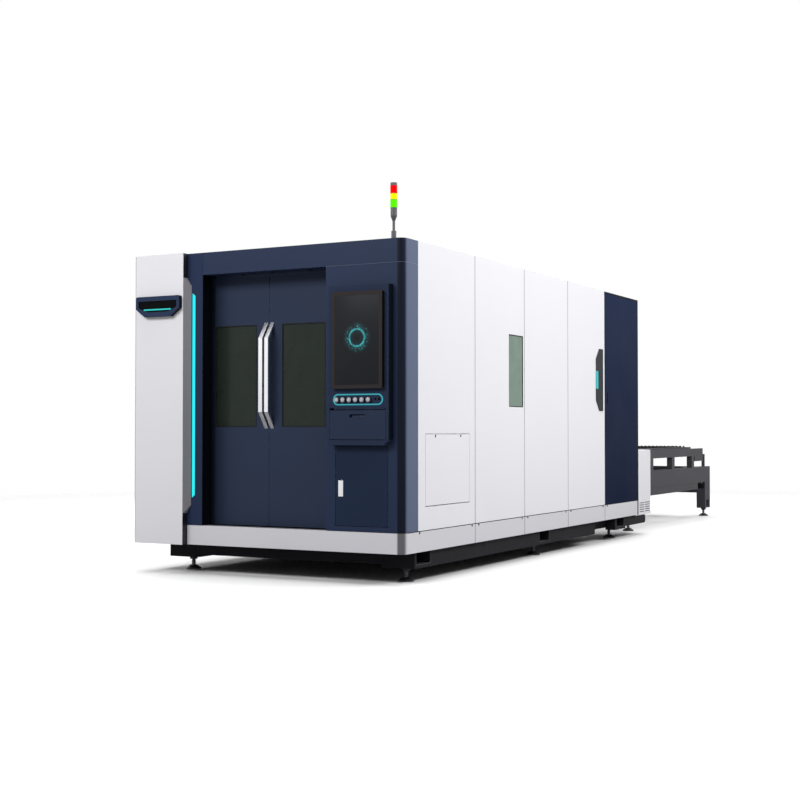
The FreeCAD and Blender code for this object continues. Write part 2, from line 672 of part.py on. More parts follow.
def light_strips():
    """The lit strips: on the jamb, in the side chevron and round the row of buttons."""
    left = "column_x + facet_width + strip_gap"
    right = f"{left} + strip_width"
    jamb = Solid("jamb_strip")
    outline = [(left, "strip_low"), (right, "strip_low + strip_slope"), (right, "strip_high - strip_slope"),
               (left, "strip_high")]
    jamb.pad("xz", outline, ("front_y - strip_thick", "front_y"))
    side = block(("right_x + strip_thick", "right_x + trim_thick"), ("trim_front", "trim_front + side_strip_width"),
                 ("side_strip_low", "side_strip_high"))
    ring = Solid("button_ring")
    x = ("right_x - ring_left", "right_x - ring_left + ring_width")
    z = ("ring_low", "ring_low + ring_height")
    face = ("console_y - strip_thick", "console_y")
    ring.pad("xz", rectangle(x, z, "ring_height / 2.01"), face)
    inner = [(f"{a} + ring_line", f"{b} - ring_line") for a, b in (x, z)]
    ring.cut("xz", rectangle(*inner, "ring_height / 2.01 - ring_line"), face)
    group("light_strips", [jamb.body, side, ring.body])


def control_pillar():
    """Navy control pillar: a folded box with the rounded corner and the cabinet's opening."""
    pillar = Solid("control_pillar")
    pillar.pad("xy", wrapped_outline("open_right", "front_box"), ("panel_low", "header_low"))
    pillar.cut("xy", hollow_outline("open_right", "front_box - skin"), ("panel_low + skin", "header_low - skin"))
    door = rectangle(("case_x - case_gap", "case_end + case_gap"), ("case_low - case_gap", "case_top + case_gap"))
    pillar.cut("xz", door, ("front_y", "front_y + skin"))
    lug = ("case_pivot_x - bracket / 2", "case_pivot_x + bracket / 2")
    depth = ("front_y + skin", "front_y + skin + bracket")
    bore = circle("case_pivot_x", "case_pivot_y", "case_pin + pin_clear")
    for low, high in (("case_low - case_gap - pin_length", "case_low - case_gap"),
                      ("case_top + case_gap", "case_top + case_gap + pin_length")):
        lug_y = ("front_y", depth[1])
        pillar.pad("xy", rectangle(lug, lug_y), (low, high))
        pillar.cut("xy", bore, (low, high))
    publish(pillar.body, "control_pillar")


def side_panels():
    """Folded white panels along both sides."""
    top = "cabin_top"
    z = ("panel_low", top)
    hatch_y = ("hatch_y - hatch_gap", "hatch_y + hatch_length + hatch_gap")
    hatch_z = ("hatch_low - pivot_gap", "hatch_low + hatch_height + hatch_gap")
    back_y = ("seam_a + rim", "seam_b - seam - rim")
    hatch_back = [(back_y, (hatch_z[1], f"{top} - rim")), (back_y, ("panel_low + rim", f"{hatch_z[0]} - rim"))]
    hatch_panel = folded_panel("hatch_panel", ("seam_a", "seam_b - seam"), z, "right_x",
                               [rectangle(hatch_y, hatch_z)], hatch_back)
    for y in ((f"{hatch_y[0]} - pin_length", hatch_y[0]), (hatch_y[1], f"{hatch_y[1]} + pin_length")):
        hatch_panel.cut("xz", circle("right_x - hatch_thick / 2", "hatch_pivot_z", "pin_radius + pin_clear"), y)
    glass_y = ("seam_b + side_glass_front", "seam_b + side_glass_front + side_glass_length")
    glass_z = ("side_glass_low", "side_glass_low + side_glass_height")
    back_y = ("seam_b + rim", "seam_c - seam - rim")
    glass_back = [(back_y, (f"{glass_z[1]} + rim", f"{top} - rim")), (back_y, ("panel_low + rim", f"{glass_z[0]} - rim"))]
    window_panel = folded_panel("window_panel", ("seam_b", "seam_c - seam"), z, "right_x",
                                [rectangle(glass_y, glass_z)], glass_back)
    plain = folded_panel("plain_panel", ("seam_c", "seam_d - seam"), z, "right_x")
    trim = folded_panel("trim_panel", ("seam_d", "seam_e - seam"), z, "right_x")
    group("side_panels_right", [p.body for p in (hatch_panel, window_panel, plain, trim)])
    left = []
    for low, high in zip(SKIRT_SEAMS, SKIRT_SEAMS[1:]):
        left.append(folded_panel("left_panel", (low, f"{high} - seam"), z, "-right_x").body)
    group("side_panels_left", left)
    glass = block(("right_x - glass_set - glass_thick", "right_x - glass_set"), glass_y, glass_z)
    publish(glass, "side_window")


def roof_panels():
    """Roof sheets that lie on the top ring between the side panels."""
    x = ("pan - right_x", "right_x - pan")
    edges = ["front_y + front_box"] + list(SKIRT_SEAMS[1:-1]) + ["rear_y - wall_thick"]
    pieces = [block(x, (low, f"{high} - seam"), ("tube_top", "cabin_top")) for low, high in zip(edges, edges[1:])]
    group("roof_panels", pieces)


# ---------------------------------------------------------------------------------------------
# Front doors
# ---------------------------------------------------------------------------------------------
def door_track():
    """Hanging rail of both leaves: a channel with two lips that the hangers run on."""
    track = Solid("door_track")
    y = ("track_y", "track_y + track_width")
    x = ("track_reach + pan - right_x", "right_x - pan - tube - track_reach")
    track.pad("yz", rectangle(y, ("track_low", "track_top")), x)
    inside = rectangle(("track_y + track_wall", "track_y + track_width - track_wall"),
                       ("track_low + track_wall", "track_top - track_wall"))
    middle = "track_y + track_width / 2"
    slot = rectangle((f"{middle} - track_slot / 2", f"{middle} + track_slot / 2"),
                     ("track_low", "track_low + track_wall"))
    track.cut("yz", inside, x)
    track.cut("yz", slot, x)
    publish(track.body, "door_track")


def leaf_span(side):
    """The X span of a door leaf; side is 'left' or 'right'."""
    if side == "left":
        return "meet_x - leaf_gap / 2 - leaf_width", "meet_x - leaf_gap / 2"
    return "meet_x + leaf_gap / 2", "meet_x + leaf_gap / 2 + leaf_width"


def glass_span(side):
    low, high = leaf_span(side)
    if side == "left":
        return f"{high} - glass_edge - glass_width", f"{high} - glass_edge"
    return f"{low} + glass_edge", f"{low} + glass_edge + glass_width"


def door_leaf(side):
    """A sliding leaf: a folded panel with its window opening and two hangers."""
    low, high = leaf_span(side)
    glass_x, glass_z = glass_span(side), ("glass_low", "glass_top")
    depth = ("leaf_y", "leaf_y + leaf_thick")
    leaf = Solid(f"door_leaf_{side}")
    leaf.pad("xz", rectangle((low, high), ("leaf_low", "leaf_top")), depth)
    back = ("leaf_y + skin", depth[1])
    x = (f"{low} + rim", f"{high} - rim")
    leaf.cut("xz", rectangle(x, ("leaf_low + rim", "glass_low - rim")), back)
    leaf.cut("xz", rectangle(x, ("glass_top + rim", "leaf_top - rim")), back)
    leaf.cut("xz", rectangle(glass_x, glass_z), depth)
    middle = "leaf_y + leaf_thick / 2"
    web = f"track_slot / 2 - slide_gap"
    run = "track_low + track_wall + slide_gap"
    wide = "track_width / 2 - track_wall - slide_gap"
    for start in (f"{low} + hanger_inset", f"{high} - hanger_inset - hanger_length"):
        x = (start, f"{start} + hanger_length")
        leaf.pad("yz", rectangle((f"{middle} - ({web})", f"{middle} + {web}"), ("leaf_top", run)), x)
        leaf.pad("yz", rectangle((f"{middle} - ({wide})", f"{middle} + {wide}"),
                                 (run, "track_top - track_wall - slide_gap")), x)
    publish(leaf.body, f"door_leaf_{side}")


def door_window(side):
    glass = block(glass_span(side), ("leaf_y + glass_set", "leaf_y + glass_set + glass_thick"),
                  ("glass_low", "glass_top"))
    publish(glass, f"door_window_{side}")


def door_handle(side):
    """A bent steel bar whose two ends lean back onto the leaf."""
    low, high = leaf_span(side)
    centre = f"{high} - grip_inset" if side == "left" else f"{low} + grip_inset - leaf_gap"
    front, back = "leaf_y - grip_out", "leaf_y - grip_out + grip_thick"
    lean = "grip_thick * 1.25"
    outline = [("leaf_y", "grip_low"), ("leaf_y", f"grip_low + {lean}"),
               (back, "grip_low + grip_bend + grip_thick / 3"), (back, "grip_high - grip_bend - grip_thick / 3"),
               ("leaf_y", f"grip_high - {lean}"), ("leaf_y", "grip_high"),
               (front, "grip_high - grip_bend"), (front, "grip_low + grip_bend")]
    grip = Solid(f"door_handle_{side}")
    x = (f"{centre} - grip_width / 2", f"{centre} + grip_width / 2")
    grip.pad("yz", outline, x)
    ends = [value(edge) for edge in x]
    wall = value("leaf_y")

    def long_edge(edge):
        middle = edge.CenterOfMass
        on_side = min(abs(middle.x - end) for end in ends) < 1e-6
        return on_side and abs(middle.y - wall) > 1e-6

    grip.round("grip_round", long_edge)
    publish(grip.body, f"door_handle_{side}")


# ---------------------------------------------------------------------------------------------
# Side hatch, rear side door, rear wall and lift door
# ---------------------------------------------------------------------------------------------
def access_hatch():
    """Flap in the first side panel, turning on two pins at its lower edge."""
    hatch = Solid("access_hatch")
    x = ("right_x - hatch_thick", "right_x")
    y = ("hatch_y", "hatch_y + hatch_length")
    z = ("hatch_low", "hatch_low + hatch_height")
    hatch.pad("yz", rectangle(y, z), x)
    inset = rectangle((f"{y[0]} + rim", f"{y[1]} - rim"), (f"{z[0]} + rim", f"{z[1]} - lock_drop - rim - rim"))
    hatch.cut("yz", inset, (x[0], "right_x - skin"))
    for start in (f"{y[0]} + lock_inset", f"{y[1]} - lock_inset"):
        hatch.cut("yz", circle(start, f"{z[1]} - lock_drop", "lock_radius + pin_clear"), x)
    pivot = circle("right_x - hatch_thick / 2", "hatch_pivot_z", "pin_radius")
    hatch.pad("xz", pivot, (f"{y[0]} - hatch_gap - pin_length / 2", y[0]))
    hatch.pad("xz", pivot, (y[1], f"{y[1]} + hatch_gap + pin_length / 2"))
    publish(hatch.body, "access_hatch")
    for name, y_lock in (("front", f"{y[0]} + lock_inset"), ("rear", f"{y[1]} - lock_inset")):
        lock = Solid(f"hatch_lock_{name}")
        centre = f"{z[1]} - lock_drop"
        back = f"{x[0]} - slide_gap"
        lock.pad("yz", circle(y_lock, centre, "lock_radius"), (back, "right_x"))
        pawl = rectangle((f"{y_lock} - pawl_width / 2", f"{y_lock} - pawl_width / 2 + pawl_length"),
                         (f"{centre} - pawl_width / 2", f"{centre} + pawl_width / 2"))
        lock.pad("yz", pawl, (f"{back} - pawl_thick", back))
        publish(lock.body, f"hatch_lock_{name}")


def rear_side_door():
    """Navy door at the rear of the right side, turning on pins near its rear edge."""
    door = Solid("rear_side_door")
    x = ("right_x - door_thick", "right_x")
    y, z = ("seam_e", "door_end"), ("panel_low", "door_top")
    door.pad("yz", rectangle(y, z), x)
    door.cut("yz", rectangle((f"{y[0]} + rim", f"{y[1]} - rim - rim"), (f"{z[0]} + rim", f"{z[1]} - rim")),
             (x[0], "right_x - skin * 2.5"))
    pull = rectangle(("seam_e + pull_inset", "seam_e + pull_inset + pull_width"), ("pull_low", "pull_low + pull_height"))
    door.cut("yz", pull, ("right_x - pull_depth", "right_x"))
    pivot = circle("right_x - door_thick / 2", "door_end - door_thick / 2", "pin_radius")
    door.pad("xy", pivot, (f"{z[0]} - seam - pin_length / 2", z[0]))
    door.pad("xy", pivot, (z[1], f"{z[1]} + seam + cap_height / 2"))
    publish(door.body, "rear_side_door")


def rear_wall():
    """Rear wall with the pallet opening, its dark corner post and the door's top bracket."""
    wall = Solid("rear_wall")
    y = ("rear_y - wall_thick", "rear_y")
    wall.pad("xz", rectangle(("-frame_x", "frame_x"), ("plinth_low", "cabin_top")), y)
    wall.cut("xz", rectangle(("-portal_half", "portal_half"), ("portal_low", "portal_top")), y)
    wall.pad("xz", rectangle(("frame_x", "right_x"), ("plinth_low", "cabin_top")), ("rear_y - corner_post", "rear_y"))
    cap = rectangle(("frame_x", "right_x"), ("seam_e", "rear_y - corner_post"))
    wall.pad("xy", cap, ("cabin_top - cap_height", "cabin_top"))
    bore = circle("right_x - door_thick / 2", "door_end - door_thick / 2", "pin_radius + pin_clear")
    wall.cut("xy", bore, ("cabin_top - cap_height", "cabin_top"))
    wall.pad("xz", rectangle(("-right_x", "-frame_x"), ("plinth_low", "panel_low")), ("rear_y - corner_post", "rear_y"))
    publish(wall.body, "rear_wall")


def lift_door():
    """Vertical shutter inside the rear wall, and the two channels that guide it."""
    gap = "slide_gap"
    y = (f"rear_y - wall_thick - guide_depth + guide_wall + {gap}", f"rear_y - wall_thick - guide_wall - {gap}")
    shutter = Solid("lift_door")
    z = ("lift_low", "lift_low + lift_height")
    shutter.pad("xz", rectangle(("-lift_half", "lift_half"), z), y)
    shutter.cut("xz", rectangle(("guide_depth - lift_half", "lift_half - guide_depth"), (f"{z[0]} + rim", f"{z[1]} - rim")),
                (y[0], f"{y[1]} - skin"))
    publish(shutter.body, "lift_door")
    guides = []
    for sign in ("", "-"):
        channel = Solid("guide")
        outer = f"{sign}(lift_half + guide_wall + slide_gap)"
        inner = f"{sign}(lift_half + guide_wall + slide_gap - guide_depth)"
        bed = f"{sign}(lift_half + slide_gap)"
        rear, front = "rear_y - wall_thick", "rear_y - wall_thick - guide_depth"
        outline = [(inner, rear), (outer, rear), (outer, front), (inner, front),
                   (inner, f"{front} + guide_wall"), (bed, f"{front} + guide_wall"),
                   (bed, f"{rear} - guide_wall"), (inner, f"{rear} - guide_wall")]
        channel.pad("xy", outline, ("lift_low - rim", "track_top"))
        foot = [(inner, front), (outer, front), (outer, rear), (inner, rear)]
        channel.pad("xy", foot, ("lift_low - rim - rim", "lift_low"))
        guides.append(channel.body)
    group("lift_door_guides", guides)


# ---------------------------------------------------------------------------------------------
# Console and the cabinet under it
# ---------------------------------------------------------------------------------------------
def button_x(number):
    return f"right_x - button_left + {number} * button_pitch"


def stem_square(number, half):
    """The square section of a button's stem, or of the hole that keeps it from turning."""
    centre = button_x(number)
    return rectangle((f"{centre} - ({half})", f"{centre} + ({half})"),
                     (f"button_level - ({half})", f"button_level + ({half})"))


def console_housing():
    """Console box on the pillar: hollow, with one cut corner, the flap's opening and bores."""
    console = Solid("console_housing")
    bottom, top = "console_low", "console_top"
    outline = [("console_x", bottom, "console_round"), ("console_end - console_chamfer", bottom),
               ("console_end", f"{bottom} + console_chamfer"), ("console_end", top, "console_round"),
               ("console_x", top, "console_round")]
    console.pad("xz", outline, ("console_y", "front_y"))
    inside = rectangle(("cavity_x", "cavity_end"), (f"{bottom} + console_wall", f"{top} - console_wall"))
    console.cut("xz", inside, ("console_y + skin", "front_y"))
    mouth = rectangle(("cavity_x", "cavity_end"), ("flap_low - flap_foot", "flap_low + flap_height + flap_reveal"))
    console.cut("xz", mouth, ("console_y", "front_y"))
    holes = [stem_square(n, "stem_half + stem_clear") for n in range(BUTTON_COUNT)]
    console.cut("xz", holes, ("console_y", "console_y + skin"))
    pivot = circle("flap_pivot_y", "flap_pivot_z", "pin_radius + pin_clear")
    console.cut("yz", pivot, ("console_x", "cavity_x"))
    console.cut("yz", pivot, ("cavity_end", "cavity_end + pin_length"))
    publish(console.body, "console_housing")


def keyboard_flap():
    """Drop-down flap with a finger slot, and the keyboard fixed on its inner face."""
    flap = Solid("flap")
    x, z = ("flap_x", "flap_end"), ("flap_low", "flap_low + flap_height")
    flap.pad("xz", rectangle(x, z), ("console_y", "console_y + flap_thick"))
    middle = "(flap_x + flap_end) / 2"
    slot_top = f"{z[1]} - grip_slot_drop"
    slot = rectangle((f"{middle} - grip_slot_width / 2", f"{middle} + grip_slot_width / 2"),
                     (f"{slot_top} - grip_slot_height", slot_top), "grip_slot_height / 2.5")
    flap.cut("xz", slot, ("console_y", "console_y + grip_slot_depth"))
    pivot = circle("flap_pivot_y", "flap_pivot_z", "pin_radius")
    flap.pad("yz", pivot, ("flap_x - flap_gap - console_wall / 2", "flap_x"))
    flap.pad("yz", pivot, ("flap_end", "flap_end + flap_gap + pin_length / 2"))
    board_x = (f"{middle} - board_width / 2", f"{middle} + board_width / 2")
    board = block(board_x, ("console_y + flap_thick", "console_y + flap_thick + board_thick"),
                  ("flap_low + board_rise", "flap_low + board_rise + board_height"))
    group("keyboard_flap", [flap.body, board])


def monitor():
    """Upright screen housing with its display set back in the bezel."""
    screen = Solid("monitor")
    x = ("right_x - monitor_left", "right_x - monitor_left + monitor_width")
    z = ("monitor_low", "monitor_low + monitor_height")
    face = "console_y - monitor_proud"
    screen.pad("xz", rectangle(x, z, "monitor_round"), (face, "console_y"))
    glass = rectangle((f"{x[0]} + bezel", f"{x[1]} - bezel"), (f"{z[0]} + bezel", f"{z[1]} - bezel"))
    screen.cut("xz", glass, (face, f"{face} + bezel_depth"))
    publish(screen.body, "monitor")


def push_buttons():
    """Push buttons: a round head, and a square stem that runs in the console's face."""
    for number in range(BUTTON_COUNT):
        button = Solid(f"button_{number + 1}")
        head = ("console_y - button_out", "console_y - button_out + button_head")
        button.pad("xz", circle(button_x(number), "button_level", "button_radius"), head)
        button.pad("xz", stem_square(number, "stem_half"), (head[1], f"{head[1]} + stem_length"))
        publish(button.body, f"button_{number + 1}")


def cabinet_door():
    """Door of the small cabinet, with the dish of its latch, turning on two pins."""
    door = Solid("cabinet_door")
    y = ("front_y", "front_y + case_thick")
    door.pad("xz", rectangle(("case_x", "case_end"), ("case_low", "case_top")), y)
    dish = rectangle(("latch_x", "latch_x + latch_width"), ("latch_low", "latch_top"))
    door.cut("xz", dish, ("front_y", "front_y + latch_depth"))
    hole = circle("latch_pivot_y", "latch_pivot_z", "latch_pin + pin_clear")
    door.cut("yz", hole, ("latch_x - latch_pivot", "latch_x"))
    door.cut("yz", hole, ("latch_x + latch_width", "latch_x + latch_width + latch_pivot"))
    pivot = circle("case_pivot_x", "case_pivot_y", "case_pin")
    door.pad("xy", pivot, ("case_low - case_gap - pin_length / 2", "case_low"))
    door.pad("xy", pivot, ("case_top", "case_top + case_gap + pin_length / 2"))
    publish(door.body, "cabinet_door")


def cabinet_latch():
    """Paddle of the latch, hung on its own pin inside the dish."""
    latch = Solid("cabinet_latch")
    x = ("latch_x + latch_gap", "latch_x + latch_width - latch_gap")
    latch.pad("xz", rectangle(x, ("latch_low + latch_gap", "latch_pivot_z + latch_thick / 2")),
              ("latch_pivot_y - latch_thick / 2", "latch_pivot_y + latch_thick / 2"))
    pin = circle("latch_pivot_y", "latch_pivot_z", "latch_pin")
    latch.pad("yz", pin, ("latch_x - latch_pivot / 2", x[0]))
    latch.pad("yz", pin, (x[1], "latch_x + latch_width + latch_pivot / 2"))
    publish(latch.body, "cabinet_latch")


# ---------------------------------------------------------------------------------------------
# Signal tower
# ---------------------------------------------------------------------------------------------
def signal_tower():
    """Pole with its collar and tapered body, then the stacked lenses and the cap."""
    x, y = "right_x - lamp_inset", "front_y + lamp_back"
    stem = Solid("lamp_stem")
    collar, pole = "cabin_top + collar_height", "cabin_top + collar_height + pole_height"
    body = f"{pole} + taper_height + body_height"
    stem.turn([("0", "cabin_top"), ("collar_radius", "cabin_top"), ("collar_radius", collar),
               ("pole_radius", collar), ("pole_radius", pole), ("body_radius", f"{pole} + taper_height"),
               ("body_radius", body), ("0", body)], x, y)
    publish(stem.body, "lamp_stem")
    lenses, low = [], body
    for radius, rise in (("lens_radius", "green_height"), ("lens_radius", "amber_height"),
                         ("lens_radius", "red_height"), ("body_radius", "cap_thick")):
        lens = Solid("lens")
        high = f"{low} + {rise}"
        lens.turn([("0", low), (radius, low), (radius, high), ("0", high)], x, y)
        lenses.append(lens.body)
        low = high
    group("lamp_lenses", lenses)


# ---------------------------------------------------------------------------------------------
# Machine bed, gantry and cutting head
# ---------------------------------------------------------------------------------------------
def machine_bed():
    """Bed side beams with their guides, cross members and the inner pallet runs."""
    parts = []
    y = ("bed_y", "bed_end")
    for x in sides(("bed_x", "bed_x + bed_width")):
        parts.append(block(x, y, ("tube_low", "bed_top")))
    for x in sides(("guide_x", "guide_x + guide_width")):
        parts.append(block(x, ("bed_y + tube", "bed_end - tube"), ("bed_top", "bed_top + guide_height")))
    for x in sides(("rail_x", "bed_x")):
        for top in ("upper_run", "lower_run"):
            parts.append(block(x, ("bed_y + tube", "rear_y"), (f"{top} - rail_wall", top)))
    for number in range(TABLE_CROSS_COUNT):
        low = f"bed_y + tube + {number} * cross_pitch"
        parts.append(block(("-bed_x", "bed_x"), (low, f"{low} + bed_cross"), ("tube_low + tube_thin", "tube_low + tube_thin + bed_cross")))
    group("machine_bed", parts)


def gantry():
    """Hollow cross beam with its trucks on the guides and the rails of the carriage."""
    beam = Solid("gantry_beam")
    y = ("gantry_y", "gantry_y + gantry_depth")
    z = ("gantry_low", "gantry_low + gantry_height")
    x = ("-gantry_half", "gantry_half")
    beam.pad("yz", rectangle(y, z), x)
    beam.cut("yz", rectangle((f"{y[0]} + gantry_wall", f"{y[1]} - gantry_wall"),
                             (f"{z[0]} + gantry_wall", f"{z[1]} - gantry_wall")), x)
    middle = "guide_x + guide_width / 2"
    slot = "(guide_width / 2 + slide_gap)"
    for sign in ("", "-"):
        truck = [(f"{sign}({middle} - truck_width / 2)", "truck_low"), (f"{sign}({middle} + truck_width / 2)", "truck_low"),
                 (f"{sign}({middle} + truck_width / 2)", "gantry_low"), (f"{sign}({middle} - truck_width / 2)", "gantry_low")]
        beam.pad("xz", truck, y)
        run = [(f"{sign}({middle} - {slot})", "truck_low"), (f"{sign}({middle} + {slot})", "truck_low"),
               (f"{sign}({middle} + {slot})", "bed_top + guide_height + slide_gap"),
               (f"{sign}({middle} - {slot})", "bed_top + guide_height + slide_gap")]
        beam.cut("xz", run, y)
    for number in range(2):
        low = f"cross_rail_low + {number} * cross_rail_pitch"
        beam.pad("yz", rectangle(("gantry_y - cross_rail", "gantry_y"), (low, f"{low} + cross_rail")), x)
    publish(beam.body, "gantry_beam")


def carriage():
    """Plate that runs along the beam's two rails and carries the head."""
    plate = Solid("carriage")
    x = ("-carriage_width / 2", "carriage_width / 2")
    back = "gantry_y - slide_gap"
    plate.pad("yz", rectangle((f"{back} - carriage_thick", back), ("carriage_low", "carriage_low + carriage_height")), x)
    for number in range(2):
        low = f"cross_rail_low + {number} * cross_rail_pitch"
        slot = rectangle(("gantry_y - cross_rail - slide_gap", back),
                         (f"{low} - slide_gap", f"{low} + cross_rail + slide_gap"))
        plate.cut("yz", slot, x)
    publish(plate.body, "carriage")


def cutting_head():
    """Head block on the carriage with its nozzle tube and tapered tip."""
    head = Solid("head_block")
    back = "gantry_y - slide_gap - carriage_thick - slide_gap"
    middle = f"{back} - head_depth / 2"
    top = "head_low + head_height"
    head.pad("xy", rectangle(("-head_width / 2", "head_width / 2"), (f"{back} - head_depth", back)), ("head_low", top))
    nozzle = Solid("nozzle")
    tip = "nozzle_low + nozzle_taper"
    nozzle.turn([("nozzle_bore", "nozzle_low"), ("nozzle_tip", "nozzle_low"), ("nozzle_radius", tip),
                 ("nozzle_radius", "head_low"), ("nozzle_bore", "head_low")], "0", middle)
    group("cutting_head", [head.body, nozzle.body])


# ---------------------------------------------------------------------------------------------
# Exchange table and pallets
# ---------------------------------------------------------------------------------------------
def table_frame():
    """Channel beams, legs, posts, upper rails, stops and cross members of the table."""
    beams, posts, rails = [], [], []
    for sign in ("", "-"):
        outer, lip = f"{sign}table_half", f"{sign}rail_x"
        web = f"{sign}(table_half - web)"
        beam = Solid("beam")
        channel = [(outer, "beam_low"), (outer, "beam_top"), (lip, "beam_top"), (lip, "beam_top - web"),
                   (web, "beam_top - web"), (web, "beam_low + web"), (lip, "beam_low + web"), (lip, "beam_low")]
        beam.pad("xz", channel, ("rear_y", "table_y"))
        notch = rectangle(("leg_y - notch_length", "leg_y"), ("beam_low", "beam_low + notch_height"))
        beam.cut("yz", notch, ("rail_x", "table_half") if not sign else ("-table_half", "-rail_x"))
        beams.append(beam.body)
        rail = Solid("rail")
        wall = f"{sign}(table_half - rail_wall)"
        angle = [(outer, "rail_low"), (outer, "rail_top"), (wall, "rail_top"), (wall, "rail_low + rail_wall"),
                 (lip, "rail_low + rail_wall"), (lip, "rail_low")]
        rail.pad("xz", angle, ("rear_y", "rail_y_end"))
        rails.append(rail.body)
        leg = Solid("leg")
        span = ("rail_x", "table_half") if not sign else ("-table_half", "-rail_x")
        leg.pad("yz", rectangle(("leg_y", "table_y"), ("base_low", "beam_low")), span)
        hole = "leg_y + leg_hole_start"
        leg.cut("yz", rectangle((hole, f"{hole} + leg_hole_length"), ("leg_hole_low", "leg_hole_low + leg_hole_height")), span)
        posts.append(leg.body)
        near = ("rear_y + near_leg_start", "rear_y + near_leg_start + near_leg")
        posts.append(block(span, near, ("base_low", "beam_low")))
    for x in sides(("table_half - post_width", "table_half")):
        for number in range(POST_COUNT):
            low = f"rear_y + post_first + {number} * post_pitch"
            posts.append(block(x, (low, f"{low} + post_length"), ("beam_top", "rail_low")))
    for x in sides(("table_half - stop_width", "table_half")):
        posts.append(block(x, ("table_y - stop_start", "table_y - stop_start + stop_length"), ("beam_top", "stop_top")))
    for x in sides(("table_half - gusset_thick", "table_half")):
        posts.append(block(x, ("rail_y_end - gusset_length", "rail_y_end"), ("gusset_low", "rail_low")))
    group("table_beams", beams)
    group("table_rails", rails)
    for number in range(TABLE_CROSS_COUNT + 1):
        low = f"rear_y + table_cross_first + {number} * table_cross_pitch"
        posts.append(block(("web - table_half", "table_half - web"), (low, f"{low} + table_cross_length"),
                           ("table_cross_low", "table_cross_low + table_cross_height")))
    plate = ("leg_y", "leg_y + end_plate_thick")
    posts.append(block(("-rail_x", "rail_x"), plate, ("end_plate_low", "beam_top")))
    group("table_frame", posts)


def slat(y, base):
    """One support slat: a thin strip whose top edge is a row of points."""
    piece = Solid("slat")
    inner = "side_bar_half - side_bar"
    foot, root, tip = f"{base} + strap_height + side_bar_low", f"{base} + slat_rise - slat_tooth", f"{base} + slat_rise - slide_gap"
    outline = [(minus(inner), foot), (inner, foot), (inner, root)]
    for number in range(TEETH_PER_SLAT, 0, -1):
        peak = f"({inner}) * ({2 * number - 1} / {TEETH_PER_SLAT} - 1)"
        valley = f"({inner}) * ({2 * number - 2} / {TEETH_PER_SLAT} - 1)"
        outline += [(peak, tip), (valley, root)]
    piece.pad("xz", outline, (y, f"{y} + slat_thick"))
    return piece.body


def pallet(label, start, run):
    """A pallet: side bars with axle bores, end bars, straps and the row of slats."""
    low, high = f"{run} + side_bar_low", f"{run} + side_bar_top"
    end = f"{start} + pallet_length"
    inner = "side_bar_half - side_bar"
    parts = []
    axle_z = f"{run} + wheel_radius + slide_gap"
    for x in sides((inner, "side_bar_half")):
        bar = Solid("side_bar")
        bar.pad("yz", rectangle((start, end), (low, high)), x)
        bores = [circle(y, axle_z, "axle_radius + axle_clear") for y in axle_places(start)]
        bar.cut("yz", bores, x)
        parts.append(bar.body)
    across = (minus(inner), inner)
    for y in ((start, f"{start} + end_bar"), (f"{end} - end_bar", end)):
        parts.append(block(across, y, (f"{axle_z} + axle_radius + side_bar_low", high)))
    group(label, parts)
    slats = [slat(f"{start} + slat_first + {n} * slat_pitch", run) for n in range(SLAT_COUNT)]
    return slats


def axle_places(start):
    return f"{start} + wheel_inset", f"{start} + pallet_length - wheel_inset"


def wheelset(label, y, run):
    """An axle with its two flat wheels outside the pallet's side bars."""
    centre = f"{run} + wheel_radius + slide_gap"
    wheels = Solid(label)
    outer = "side_bar_half + slide_gap + wheel_width"
    wheels.pad("yz", circle(y, centre, "axle_radius"), (minus(outer), outer))
    for x in sides(("side_bar_half + slide_gap", outer)):
        wheels.pad("yz", circle(y, centre, "wheel_radius"), x)
    publish(wheels.body, label)


def drive_cabinet():
    """White louvred cabinet of the pallet drive."""
    case = Solid("drive_cabinet")
    x = ("frame_x - drive_width", "frame_x")
    y = ("rear_y", "rear_y + drive_gap + drive_length")
    z = ("drive_low", "drive_top")
    case.pad("yz", rectangle(y, z), x)
    slots = []
    for row in range(LOUVRE_ROWS):
        low = f"louvre_low + {row} * louvre_pitch"
        for column in range(2):
            start = f"{y[0]} + louvre_front + {column} * louvre_step"
            slots.append(rectangle((start, f"{start} + louvre_length"), (low, f"{low} + louvre_height")))
    case.cut("yz", slots, (f"{x[1]} - skin", x[1]))
    publish(case.body, "drive_cabinet")


def laser_source():
    """Laser source box that stands on the base behind the side hatch."""
    x = ("right_x - source_inset - source_width", "right_x - source_inset")
    box = block(x, ("front_y + source_front", "front_y + source_front + source_length"),
                ("tube_low", "tube_low + source_height"))
    publish(box, "laser_source")


# ---------------------------------------------------------------------------------------------
# The whole machine
# ---------------------------------------------------------------------------------------------
def build():
    fill_sheets()
    group("base_beams", [base_beam("right_x - base_inset", "-"), base_beam("base_inset_left - right_x", "+")])
    base_cross_beams()
    levelling_feet()
    cabin_frame()
    plinth_panels()
    front_header()
    left_jamb()
    left_column()
    column_badge()
    chevron_trims()
    light_strips()
    control_pillar()
    side_panels()
    roof_panels()
    door_track()
    for side in ("left", "right"):
        door_leaf(side)
        door_window(side)
        door_handle(side)
    access_hatch()
    rear_side_door()
    rear_wall()
    lift_door()
    console_housing()
    keyboard_flap()
    monitor()
    push_buttons()
    cabinet_door()
    cabinet_latch()
    signal_tower()
    machine_bed()
    gantry()
    carriage()
    cutting_head()
    table_frame()
    slats = {}
    for label, start, run in (("upper", "outer_pallet_y", "upper_run"), ("lower", "inner_pallet_y", "lower_run")):
        slats[label] = pallet(f"pallet_{label}", start, run)
        group(f"slats_{label}", slats[label])
        for end, y in zip(("front", "rear"), axle_places(start)):
            wheelset(f"wheelset_{label}_{end}", y, run)
    drive_cabinet()
    laser_source()


